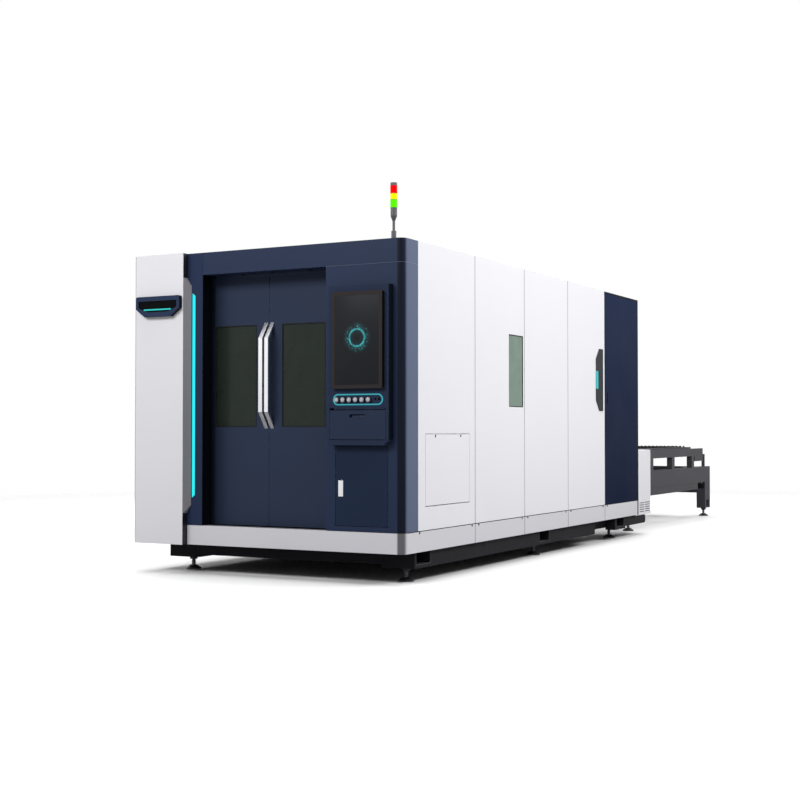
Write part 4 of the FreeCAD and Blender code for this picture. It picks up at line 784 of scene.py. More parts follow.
# ---------------------------------------------------------------------------------------------
# Modelling
# ---------------------------------------------------------------------------------------------
class Piece:
    """A new piece, shaped with Blender's own operators as by hand.

    Attributes:
        aligned: Least cosine between a face's normal and the direction that it looks in.
        crease: Angle from which an edge stays sharp.
    """

    aligned = 0.99
    crease = math.radians(35)

    def __init__(self, shape: bpy.types.Object, name: str) -> None:
        """Take over a fresh object and settle it at the machine's origin.

        Args:
            shape: The object.
            name: Name of the piece.
        """
        self.shape = shape
        shape.name = name
        self.settle()

    @classmethod
    def block(cls, name: str, low: Corner, high: Corner) -> "Piece":
        """Start from a block.

        Args:
            name: Name of the piece.
            low: Its lowest corner.
            high: Its highest corner.

        Returns:
            The piece.
        """
        low, high = Vector(low), Vector(high)
        bpy.ops.object.select_all(action="DESELECT")
        bpy.ops.mesh.primitive_cube_add(size=1.0, location=(low + high) / 2)
        bpy.context.object.scale = high - low
        return cls(bpy.context.object, name)

    @classmethod
    def rod(cls, name: str, centre: Corner, radius: float, length: float, along: Axis,
            sides: int = 24) -> "Piece":
        """Start from a round or many-sided rod.

        Args:
            name: Name of the piece.
            centre: Middle of the rod.
            radius: Radius over its corners.
            length: Its length.
            along: Axis that it lies along.
            sides: How many sides it has.

        Returns:
            The piece.
        """
        bpy.ops.object.select_all(action="DESELECT")
        turn = {Axis.X: (0.0, math.pi / 2, 0.0), Axis.Y: (math.pi / 2, 0.0, 0.0), Axis.Z: (0.0, 0.0, 0.0)}
        bpy.ops.mesh.primitive_cylinder_add(vertices=sides, radius=radius, depth=length, location=centre,
                                            rotation=turn[along])
        return cls(bpy.context.object, name)

    def only(self) -> None:
        """Select this piece alone."""
        bpy.ops.object.select_all(action="DESELECT")
        self.shape.select_set(True)
        bpy.context.view_layer.objects.active = self.shape

    def settle(self) -> None:
        """Put the place, turn and scale into the mesh."""
        self.only()
        bpy.ops.object.transform_apply(location=True, rotation=True, scale=True)

    def choose(self, wanted: Callable[[bpy.types.MeshPolygon], bool]) -> "Piece":
        """Select faces, and stay in edit mode.

        Args:
            wanted: Test that picks them.

        Returns:
            This piece.
        """
        self.only()
        bpy.ops.object.mode_set(mode="EDIT")
        bpy.ops.mesh.select_mode(type="FACE")
        bpy.ops.mesh.select_all(action="DESELECT")
        bpy.ops.object.mode_set(mode="OBJECT")
        for face in self.shape.data.polygons:
            face.select = wanted(face)
        bpy.ops.object.mode_set(mode="EDIT")
        return self

    def facing(self, *directions: Vector) -> "Piece":
        """Select the faces that look in any of the given directions."""
        return self.choose(lambda face: any(face.normal.dot(way) > self.aligned for way in directions))

    def inset(self, width: float, depth: float = 0.0) -> "Piece":
        """Inset the selected faces, each by itself, and push them in or out."""
        bpy.ops.mesh.inset(thickness=width, depth=depth, use_individual=True)
        return self

    def dish(self, ways: Iterable[Vector], rim: float, depth: float = 0.0,
             wall: float | None = None) -> "Piece":
        """Push the middle of some faces in or out.

        Args:
            ways: Directions that the faces look in.
            rim: Width of the rim that stays round the middle.
            depth: How far the middle moves, outwards where it is positive.
            wall: Width of the wall inside a flat rim; without it the rim itself slopes.

        Returns:
            This piece.
        """
        self.facing(*ways)
        if wall is None:
            return self.inset(rim, depth).done()
        return self.inset(rim).inset(wall, depth).done()

    def hollow(self, along: Axis, wall: float) -> "Piece":
        """Open the piece from end to end.

        Args:
            along: Axis that the opening runs along.
            wall: Thickness that is left all round it.

        Returns:
            This piece.
        """
        self.facing(*along.both_ways()).inset(wall)
        bpy.ops.mesh.bridge_edge_loops()
        return self.done()

    def drawn(self, face: Vector, length: float, shares: Corner, middle: Corner) -> "Piece":
        """Draw a face out and make its far end smaller.

        Args:
            face: Direction that the face looks in.
            length: How far it is drawn out; 0 leaves it in place.
            shares: Size of the far end along each axis, as a share of the face's.
            middle: Point that the far end shrinks towards.

        Returns:
            This piece.
        """
        self.facing(face)
        if length:
            bpy.ops.mesh.extrude_region_move(TRANSFORM_OT_translate={"value": face * length})
        bpy.ops.transform.resize(value=shares, center_override=middle)
        return self.done()

    def round_edges(self, wanted: Callable[[Vector, Vector], bool], radius: float, steps: int) -> "Piece":
        """Round some edges.

        Args:
            wanted: Test on their two ends that picks them.
            radius: Radius of the rounding.
            steps: How many faces it has.

        Returns:
            This piece.
        """
        self.choose(lambda face: False).done()
        corners = self.shape.data.vertices
        for edge in self.shape.data.edges:
            edge.select = wanted(*(corners[corner].co for corner in edge.vertices))
        bpy.ops.object.mode_set(mode="EDIT")
        bpy.ops.mesh.select_mode(type="EDGE")
        bpy.ops.mesh.bevel(offset=radius, segments=steps)
        return self.done()

    def without(self, unwanted: Callable[[bpy.types.MeshPolygon], bool]) -> "Piece":
        """Take faces away.

        Args:
            unwanted: Test that picks them.

        Returns:
            This piece.
        """
        self.choose(unwanted)
        bpy.ops.mesh.delete(type="FACE")
        return self.done()

    def weld(self) -> "Piece":
        """Merge corners that meet, and close the two open ends.

        Returns:
            This piece.
        """
        self.choose(lambda face: True)
        bpy.ops.mesh.remove_doubles(threshold=1e-5)
        bpy.ops.mesh.select_all(action="DESELECT")
        bpy.ops.mesh.select_mode(type="EDGE")
        bpy.ops.mesh.select_non_manifold()
        bpy.ops.mesh.fill_holes(sides=0)
        return self.done()

    def done(self) -> "Piece":
        """Leave edit mode."""
        bpy.ops.object.mode_set(mode="OBJECT")
        return self

    def modify(self, kind: str, **settings: object) -> "Piece":
        """Add a modifier and apply it.

        Args:
            kind: Blender's type name of the modifier.
            settings: Its properties.

        Returns:
            This piece.
        """
        self.only()
        bpy.ops.object.modifier_add(type=kind)
        modifier = self.shape.modifiers[-1]
        for name, setting in settings.items():
            setattr(modifier, name, setting)
        bpy.ops.object.modifier_apply(modifier=modifier.name)
        return self

    def soften(self, width: float, steps: int = 2) -> "Piece":
        """Bevel every sharp edge."""
        return self.modify("BEVEL", width=width, segments=steps, limit_method="ANGLE")

    def thicken(self, thickness: float) -> "Piece":
        """Give open faces a thickness inwards."""
        return self.modify("SOLIDIFY", thickness=thickness, offset=-1.0)

    def smooth(self) -> "Piece":
        """Shade smooth over edges that turn less than the crease angle.

        Returns:
            This piece.
        """
        self.only()
        bpy.ops.object.shade_smooth_by_angle(angle=self.crease)
        return self

    def repeat(self, moves: Iterable[Vector]) -> "Piece":
        """Add copies of the piece, each with its own mesh, and join them all.

        Args:
            moves: Move from the piece to each copy.

        Returns:
            This piece.
        """
        copies = []
        for move in moves:
            self.only()
            bpy.ops.object.duplicate_move(OBJECT_OT_duplicate={"linked": False},
                                          TRANSFORM_OT_translate={"value": move})
            copies.append(bpy.context.object)
        self.only()
        for copy in copies:
            copy.select_set(True)
        if copies:
            bpy.ops.object.join()
        self.settle()
        return self

    def at_each(self, places: Sequence[Vector]) -> "Piece":
        """Stand a copy at every place after the first, where the piece itself stands."""
        return self.repeat(place - places[0] for place in places[1:])

    def join(self, *others: "Piece") -> "Piece":
        """Take other pieces into this one.

        Args:
            others: The other pieces.

        Returns:
            This piece.
        """
        self.only()
        for other in others:
            other.shape.select_set(True)
        bpy.ops.object.join()
        return self

    def fit(self, finish: Finish, body: str, slot: str) -> "Piece":
        """Give the piece its finish, and tell the frame how it moves.

        Args:
            finish: Its finish.
            body: Body that it moves with.
            slot: Not used.

        Returns:
            This piece.
        """
        self.shape.data.materials.clear()
        self.shape.data.materials.append(material(finish))
        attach(self.shape, body)
        LOG.info("%s: %d faces on %s", self.shape.name, len(self.shape.data.polygons), body)
        return self


def screws(name: str, places: Sequence[Vector], radius: float, height: float, way: Vector) -> Piece:
    """Button heads with a sunk hexagon socket.

    Args:
        name: Name of the piece.
        places: Where the heads sit on their plate.
        radius: Radius of a head.
        height: How far a head stands out.
        way: Direction that the heads look in, along one axis.

    Returns:
        All the screws as one piece.
    """
    rim, wall, depth, edge = radius * 0.45, radius * 0.03, height * 0.6, radius * 0.12
    head = Piece.rod(name, places[0] + way * height / 2, radius, height, Axis.of(way), sides=12)
    head.dish([way], rim, -depth, wall=wall)
    return head.soften(edge, 1).smooth().at_each(places)


def bolts(name: str, places: Sequence[Vector], radius: float, height: float, way: Vector) -> Piece:
    """Hexagon heads, each on its round washer.

    Args:
        name: Name of the piece.
        places: Where the washers sit.
        radius: Radius over the head's corners.
        height: How far a head and its washer stand out together.
        way: Direction that the heads look in, along one axis.

    Returns:
        All the bolts as one piece.
    """
    along = Axis.of(way)
    thick, reach, edge = height * 0.25, radius * 1.25, height * 0.25 * 0.3
    slope, crown = radius * 0.12, height * 0.06
    washer = Piece.rod(name, places[0] + way * thick / 2, reach, thick, along, sides=20)
    head = Piece.rod("head", places[0] + way * (thick + height) / 2, radius, height - thick, along, sides=6)
    head.dish([way], slope, crown)
    return washer.soften(edge, 1).join(head).smooth().at_each(places)


def window_frame(name: str, pane: tuple[Vector, Vector], lip: float, front: float, depth: float,
                 along: Axis) -> Piece:
    """A rubber frame round the edge of a pane.

    Args:
        name: Name of the piece.
        pane: Lowest and highest corner of the pane.
        lip: How far the frame covers the pane's edge.
        front: Place of the frame's outer face along its axis.
        depth: How far the frame goes towards the pane, with its sign.
        along: Axis that the pane faces.

    Returns:
        The frame.
    """
    low, high = pane[0].copy(), pane[1].copy()
    low[along.value], high[along.value] = sorted((front, front + depth))
    return Piece.block(name, low, high).hollow(along, lip).soften(GASKET_EDGE, 1).smooth()


def solid_boxes(node: str) -> list[tuple[Vector, Vector]]:
    """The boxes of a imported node's separate solids, found by faces that share corners.

    Args:
        node: Name of the node.

    Returns:
        Lowest and highest corner of each solid, sorted by the lowest.
    """
    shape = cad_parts[node]
    corners = [tuple(round(part, 5) for part in shape.matrix_world @ corner.co)
               for corner in shape.data.vertices]
    leader = {corner: corner for corner in corners}

    def find(corner: tuple) -> tuple:
        """Find the corner that stands for the whole solid.

        Args:
            corner: Any of its corners.

        Returns:
            That corner.
        """
        while leader[corner] != corner:
            leader[corner] = leader[leader[corner]]
            corner = leader[corner]
        return corner

    for face in shape.data.polygons:
        first = find(corners[face.vertices[0]])
        for number in face.vertices[1:]:
            leader[find(corners[number])] = first
    solids: dict[tuple, list[tuple]] = {}
    for corner in leader:
        solids.setdefault(find(corner), []).append(corner)
    boxes = [(Vector(map(min, zip(*group))), Vector(map(max, zip(*group)))) for group in solids.values()]
    return sorted(boxes, key=lambda box: tuple(box[0]))


def dress(finish: Finish, *nodes: str) -> None:
    """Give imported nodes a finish, and report each of them.

    Args:
        finish: The finish.
        nodes: Names of the nodes.
    """
    for name in nodes:
        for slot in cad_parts[name].material_slots:
            slot.material = material(finish)
        LOG.info("%s dressed in %s", name, finish.name)


# ---------------------------------------------------------------------------------------------
# Sub-assemblies
# ---------------------------------------------------------------------------------------------
@dataclass
class WeldedBase:
    """Base beams, cross beams and levelling feet."""

    thread_radius: float = 0.0150
    thread_pitch: float = 0.0055
    thread_width: float = 0.7
    thread_edge: float = 0.25
    thread_turns: int = 7
    thread_start: float = 0.030
    joint_width: float = 0.004
    joint_from_front: float = 1.30
    joint_sunk: float = 0.001
    joint_out: float = 0.0015
    pocket_low: float = 0.120
    pocket_height: float = 0.078
    pocket_width: float = 0.195
    pocket_start: float = 0.021
    pocket_pitch: float = 2.070
    block_pocket: float = 3.8975
    collar_wall: float = 0.005
    collar_clear: float = 0.0002
    collar_out: float = 0.0015
    collar_depth: float = 0.003
    edge: float = 0.0008

    def build(self) -> None:
        """Dress the base and add its weld seams and the threads of the feet."""
        dress(BASE_BLACK, "base_beams", "base_cross_beams")
        dress(CAST_IRON, "leveling_feet")
        self.low, self.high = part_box("base_beams")
        self.foot_threads()
        self.beam_joint()
        self.pocket_collars()

    def foot_threads(self) -> None:
        """The turned threads between each foot's cone and its nut."""
        middles = [(low + high) / 2 for low, high in solid_boxes("leveling_feet")]
        starts = [Vector((middle.x, middle.y, self.thread_start)) for middle in middles]
        pitch = self.thread_pitch
        turn = Piece.rod("foot_threads", starts[0], self.thread_radius, pitch * self.thread_width, Axis.Z,
                         sides=14)
        turn.soften(pitch * self.thread_edge, 1).smooth()
        turn.repeat(Axis.Z.row(pitch, self.thread_turns)).at_each(starts)
        turn.fit(ZINC, "machine", "cast_foot")

    def beam_joint(self) -> None:
        """The weld bead where two lengths of the right base beam meet."""
        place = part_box("front_header")[0].y + self.joint_from_front
        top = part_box("plinth_panels")[0].z
        bead = Piece.block("beam_joint", (self.high.x - self.joint_sunk, place, self.low.z),
                           (self.high.x + self.joint_out, place + self.joint_width, top))
        bead.soften(self.edge).smooth().fit(TABLE_GREY, "machine", "base_paint")

    def pocket_collars(self) -> None:
        """The tube ends that line the forklift pockets on the right side."""
        start, wall = self.low.y + self.pocket_start, self.collar_wall
        collar = Piece.block("pocket_collars",
                             (self.high.x - self.collar_depth, start - wall, self.pocket_low - wall),
                             (self.high.x + self.collar_out, start + self.pocket_width + wall,
                              self.pocket_low + self.pocket_height + wall))
        collar.hollow(Axis.X, wall - self.collar_clear).soften(self.edge, 1).smooth()
        moves = (self.pocket_pitch, self.block_pocket - self.pocket_start)
        collar.repeat(Axis.Y.vector(move) for move in moves)
        collar.fit(TABLE_GREY, "machine", "base_paint")


@dataclass
class Cabin:
    """Panels, frame, header, jamb, column with its badge, and the light strips."""

    fold_width: float = 0.006
    rear_post_width: float = 0.029
    badge_face: float = 0.0008
    corner_radius: float = 0.050
    corner_steps: int = 8
    seams: tuple[float, ...] = (1.052, 1.930, 2.832, 3.712)
    gap: float = 0.003
    seal_out: float = 0.0003
    seal_lip: float = 0.0012
    seal_depth: float = 0.002
    seal_clear: float = 0.0002
    seal_edge: float = 0.0002
    end_width: float = 0.014
    end_over: float = 0.0006
    screw_radius: float = 0.0075
    screw_height: float = 0.003
    screw_drop: float = 0.008
    screw_from_seam: float = 0.055
    first_screw: float = 0.210
    bolt_places: tuple[float, ...] = (-0.231, 0.0, 0.298)
    bolt_radius: float = 0.009
    bolt_height: float = 0.010
    bolt_back: float = 0.092
    lip: float = 0.0008
    lip_height: float = 0.0020
    lip_depth: float = 0.0015
    plate_edge: float = 0.0003
    plate_thick: float = 0.001
    badge_side: float = 0.024
    badge_border: float = 0.032
    badge_foot: float = 0.076
    badge_slant: float = 0.079
    badge_recess: float = 0.006
    line_start: float = 0.067
    line_width: float = 0.234
    line_height: float = 0.010
    line_thick: float = 0.001
    line_drop: float = 0.092
    line_edge: float = 0.0008
    gasket_lip: float = 0.006
    gasket_sunk: float = 0.0005
    gasket_depth: float = 0.0034
    pull_inset: float = 0.066
    pull_width: float = 0.014
    pull_low: float = 1.213
    pull_height: float = 0.106
    pull_depth: float = 0.008
    pull_clear: float = 0.0002
    pull_sunk: float = 0.001
    pull_rim: float = 0.0015
    pull_dish: float = 0.005
    pull_edge: float = 0.0004

    def build(self) -> None:
        """Dress the cabin and add its small pieces."""
        self.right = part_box("side_panels_right")[1].x
        self.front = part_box("front_header")[0].y
        self.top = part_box("front_header")[1].z
        self.skirt_low, self.skirt_top = (corner.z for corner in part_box("plinth_panels"))
        self.dress_panels()
        self.dress_split_panels()
        for side, sign in (("right", 1.0), ("left", -1.0)):
            self.seam_seals(side, sign)
        self.skirt_screws()
        self.header_bolts()
        self.header_lip()
        self.badge_plate()
        self.badge_line()
        self.side_gasket()
        self.door_pull()

    def dress_panels(self) -> None:
        """Give the panels of one coat theirs."""
        # The skirt, roof, header, pillar and rear side door coats carry painted shade, painted reflection or
        # painted light, as their finishes say.
        dress(SKIRT_WHITE, "plinth_panels")
        dress(WHITE, "side_panels_right", "side_panels_left", "lift_door", "access_hatch")
        dress(ROOF_PAINTED_SHADE_GREY, "roof_panels")
        dress(NAVY, "front_header", "control_pillar")
        dress(INNER_GREY, "cabin_frame")
        dress(TRACK_DARK, "door_track", "lift_door_guides")
        dress(TRIM, "chevron_trims")
        dress(STRIP_LIGHT, "light_strips")
        dress(REAR_NAVY_PAINTED_SHADE, "rear_side_door")
        dress(SIDE_GLASS, "side_window")

    def dress_split_panels(self) -> None:
        """Coat the panels whose folds and turned-in faces are darker than their front, a painted shade."""
        low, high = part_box("left_column")
        # The column's fold is painted grey and its return beside the jamb dark navy: painted shade.
        column = Bands(Axis.X, (low.x + SKIN, low.x + self.fold_width, high.x - SKIN),
                       (WHITE.colour, FOLD_PAINTED_SHADE_GREY, WHITE.colour, DEEP_NAVY.colour))
        dress(PowderCoat("column_powder_coat", column, 0.42, **CLEAN), "left_column")
        wall = Bands(Axis.X, (self.right - self.rear_post_width,), (WHITE.colour, srgb(9, 13, 24)))
        dress(PowderCoat("rear_wall_powder_coat", wall, 0.45, specular=0.05, **CLEAN), "rear_wall")
        # The jamb's face into the door opening is painted near black: painted shade of the reveal.
        jamb = Bands(Axis.X, (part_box("left_jamb")[1].x - SKIN,), (FRONT_NAVY, srgb(9, 11, 17)))
        dress(PowderCoat("jamb_powder_coat", jamb, 0.4, specular=0.08, mottle=0.03), "left_jamb")
        # The badge's sides and recess are painted dark behind its front: painted shade.
        badge = Bands(Axis.Y, (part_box("column_badge")[0].y + self.badge_face,),
                      (srgb(44, 56, 84), DEEP_NAVY.colour))
        dress(PowderCoat("badge_powder_coat", badge, 0.4, specular=0.08, mottle=0.03), "column_badge")

    def seam_seals(self, side: str, sign: float) -> None:
        """Rubber strips in the gaps between one side's panels and along its skirts' top edge.

        On the right side, each strip has lips that lie on the panels' edges, and an upright one
        closes the skirts' rear end.

        Args:
            side: Name of the side.
            sign: 1 on the right side, -1 on the left.
        """
        at_right = side == "right"
        lip = self.seal_lip if at_right else -self.seal_clear
        out = self.seal_out if at_right else -self.seal_out
        near, far = sorted((sign * (self.right + out), sign * (self.right - self.seal_depth)))
        start = self.front + self.seams[0] - self.gap
        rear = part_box("rear_side_door")[1].y
        upright = Piece.block(f"panel_seals_{side}", (near, start - lip, self.skirt_low),
                              (far, start + self.gap + lip, self.top))
        upright.soften(self.seal_edge, 1)
        upright.repeat(Axis.Y.vector(seam - self.seams[0]) for seam in self.seams[1:])
        ledge = Piece.block("ledge", (near, self.front + self.corner_radius, self.skirt_top - lip),
                            (far, rear, self.skirt_top + self.gap + lip))
        strips = [ledge.soften(self.seal_edge, 1)]
        if at_right:
            end = Piece.block("end", (near, rear - self.end_width, self.skirt_low),
                              (far, rear + self.end_over, self.skirt_top))
            strips.append(end.soften(self.seal_edge, 1))
        upright.join(*strips).fit(SEAL_BLACK, "machine", "black_plastic")

    def skirt_screws(self) -> None:
        """Dark button heads under the top edge of the right skirts, on both sides of each seam."""
        spots = [self.first_screw]
        spots += [seam + way * self.screw_from_seam for seam in self.seams for way in (-1.0, 1.0)]
        places = [Vector((self.right, self.front + spot, self.skirt_top - self.screw_drop)) for spot in spots]
        screws("skirt_screws", places, self.screw_radius, self.screw_height,
               Axis.X.vector()).fit(BLACK_STEEL, "machine", "dark_steel")

    def header_bolts(self) -> None:
        """Three bolt heads that hang under the header."""
        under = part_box("front_header")[0].z
        places = [Vector((place, self.front + self.bolt_back, under)) for place in self.bolt_places]
        bolts("header_bolts", places, self.bolt_radius, self.bolt_height,
              Axis.Z.vector(-1.0)).fit(BLACK_STEEL, "machine", "bare_steel")

    def header_lip(self) -> None:
        """The fold under the header, painted pale as a highlight, and the dark joint beside the jamb."""
        low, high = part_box("front_header")
        left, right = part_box("control_pillar")[0].x, self.right + self.lip
        half = self.lip_height / 2
        level = Piece.block("header_lip", (left, self.front - self.lip, low.z - half),
                            (right, high.y, low.z + half))

        def at_corner(one: Vector, other: Vector) -> bool:
            """Whether an edge stands at the cabin's front right corner."""
            return all(end.x > self.right and end.y < self.front for end in (one, other))

        level.round_edges(at_corner, self.corner_radius + self.lip, self.corner_steps)
        tilt = 0.1
        level.without(lambda face: abs(face.normal.z) > tilt or face.normal.x < -tilt or face.normal.y > tilt)
        level.thicken(self.lip_depth)
        upright = Piece.block("jamb_lip", (low.x - half, self.front - self.lip, low.z),
                              (low.x + half, self.front + half, self.top - half))
        upright.soften(self.plate_edge, 1).smooth().fit(DEEP_NAVY, "machine", "navy_paint")
        level.smooth().fit(NAVY_LIP_PAINTED_HIGHLIGHT, "machine", "navy_paint")

    def badge_plate(self) -> None:
        """The bare black plate in the badge's recess, narrower at its foot."""
        low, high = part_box("column_badge")
        floor = low.y + self.badge_recess
        left, right = low.x + self.badge_side, high.x - self.badge_side
        shoulder = high.z - self.badge_slant
        plate = Piece.block("badge_plate", (left, floor - self.plate_thick, shoulder),
                            (right, floor, high.z - self.badge_border))
        share = 1.0 - 2 * self.badge_foot / (right - left)
        drop = shoulder - (low.z + self.badge_border)
        plate.drawn(Axis.Z.vector(-1.0), drop, (share, 1.0, 1.0), (low + high) / 2)
        plate.soften(self.plate_edge, 1).fit(BADGE_BLACK, "machine", "black_plastic")

    def badge_line(self) -> None:
        """The lit line on the badge's plate."""
        low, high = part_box("column_badge")
        start, middle = low.x + self.line_start, high.z - self.line_drop
        face = low.y + self.badge_recess - self.plate_thick
        line = Piece.block("badge_line", (start, face - self.line_thick, middle - self.line_height / 2),
                           (start + self.line_width, face, middle + self.line_height / 2))
        line.soften(self.line_edge).smooth().fit(LINE_LIGHT, "machine", "light_diffuser")

    def side_gasket(self) -> None:
        """Rubber frame round the window in the side panel."""
        gasket = window_frame("side_window_gasket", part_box("side_window"), self.gasket_lip,
                              self.right - self.gasket_sunk, -self.gasket_depth, Axis.X)
        gasket.fit(SEAL_BLACK, "machine", "black_plastic")

    def door_pull(self) -> None:
        """The black cup in the rear side door's pull."""
        start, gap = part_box("rear_side_door")[0].y + self.pull_inset, self.pull_clear
        cup = Piece.block("rear_door_pull", (self.right - self.pull_depth, start + gap, self.pull_low + gap),
                          (self.right - self.pull_sunk, start + self.pull_width - gap,
                           self.pull_low + self.pull_height - gap))
        cup.dish([Axis.X.vector()], self.pull_rim, -self.pull_dish, wall=gap).soften(self.pull_edge, 1)
        cup.smooth().fit(SLOT_BLACK, "rear_side_door", "black_plastic")


@dataclass
class FrontDoors:
    """Sliding leaves with their windows and handles."""

    gasket_lip: float = 0.007
    gasket_sunk: float = 0.0005
    gasket_depth: float = 0.0034
    seal_width: float = 0.0034
    seal_set: float = 0.003
    seal_depth: float = 0.030
    seal_rise: float = 0.002
    seal_over_window: float = 0.27
    seal_edge: float = 0.0012
    foot_drop: float = 0.006
    foot_thick: float = 0.006
    foot_inset: float = 0.002
    foot_lap: float = 0.0005
    foot_edge: float = 0.0004
    cover_side: float = 0.0005
    cover_clear: float = 0.0015
    cover_thick: float = 0.0025
    cover_drop: float = 0.018
    cover_rise: float = 0.040
    cover_rim: float = 0.002
    cover_edge: float = 0.0006

    def build(self) -> None:
        """Dress both leaves and add their seals, then the track's cover."""
        for side in ("left", "right"):
            dress(DOOR_NAVY, f"door_leaf_{side}")
            dress(DOOR_GLASS, f"door_window_{side}")
            dress(HANDLE_STEEL, f"door_handle_{side}")
            self.foot_seal(side)
            self.window_gasket(side)
        self.meeting_seal()
        self.track_cover()

    def foot_seal(self, side: str) -> None:
        """The brush strip that closes the gap under a leaf.

        Args:
            side: Side of the leaf.
        """
        low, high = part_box(f"door_leaf_{side}")
        strip = Piece.block(f"door_foot_seal_{side}",
                            (low.x + self.foot_inset, low.y + self.foot_lap, low.z - self.foot_drop),
                            (high.x - self.foot_inset, low.y + self.foot_thick, low.z + self.foot_lap))
        strip.soften(self.foot_edge, 1).fit(DOOR_NAVY, f"door_{side}", "navy_paint")

    def window_gasket(self, side: str) -> None:
        """The rubber frame round a leaf's window.

        Args:
            side: Side of the leaf.
        """
        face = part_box(f"door_leaf_{side}")[0].y + self.gasket_sunk
        gasket = window_frame(f"door_gasket_{side}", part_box(f"door_window_{side}"), self.gasket_lip, face,
                              self.gasket_depth, Axis.Y)
        gasket.fit(RUBBER, f"door_{side}", "black_plastic")

    def meeting_seal(self) -> None:
        """The upright strip on the left leaf, where the leaves meet."""
        low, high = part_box("door_leaf_left")
        start = low.y + self.seal_set
        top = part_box("door_window_left")[1].z + self.seal_over_window
        seal = Piece.block("door_meeting_seal", (high.x, start, low.z + self.seal_rise),
                           (high.x + self.seal_width, start + self.seal_depth, top))
        seal.soften(self.seal_edge).smooth().fit(DOOR_NAVY, "door_left", "navy_paint")

    def track_cover(self) -> None:
        """The folded strip that hides the track and the hangers over the leaves."""
        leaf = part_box("door_leaf_left")[0].y - self.cover_clear
        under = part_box("front_header")[0].z
        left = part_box("left_jamb")[1].x + self.cover_side
        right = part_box("control_pillar")[0].x - self.cover_side
        strip = Piece.block("track_cover", (left, leaf - self.cover_thick, under - self.cover_drop),
                            (right, leaf, under + self.cover_rise))
        strip.dish([Axis.Y.vector()], self.cover_rim, wall=STEP)
        strip.soften(self.cover_edge).smooth().fit(DOOR_NAVY, "machine", "navy_paint")


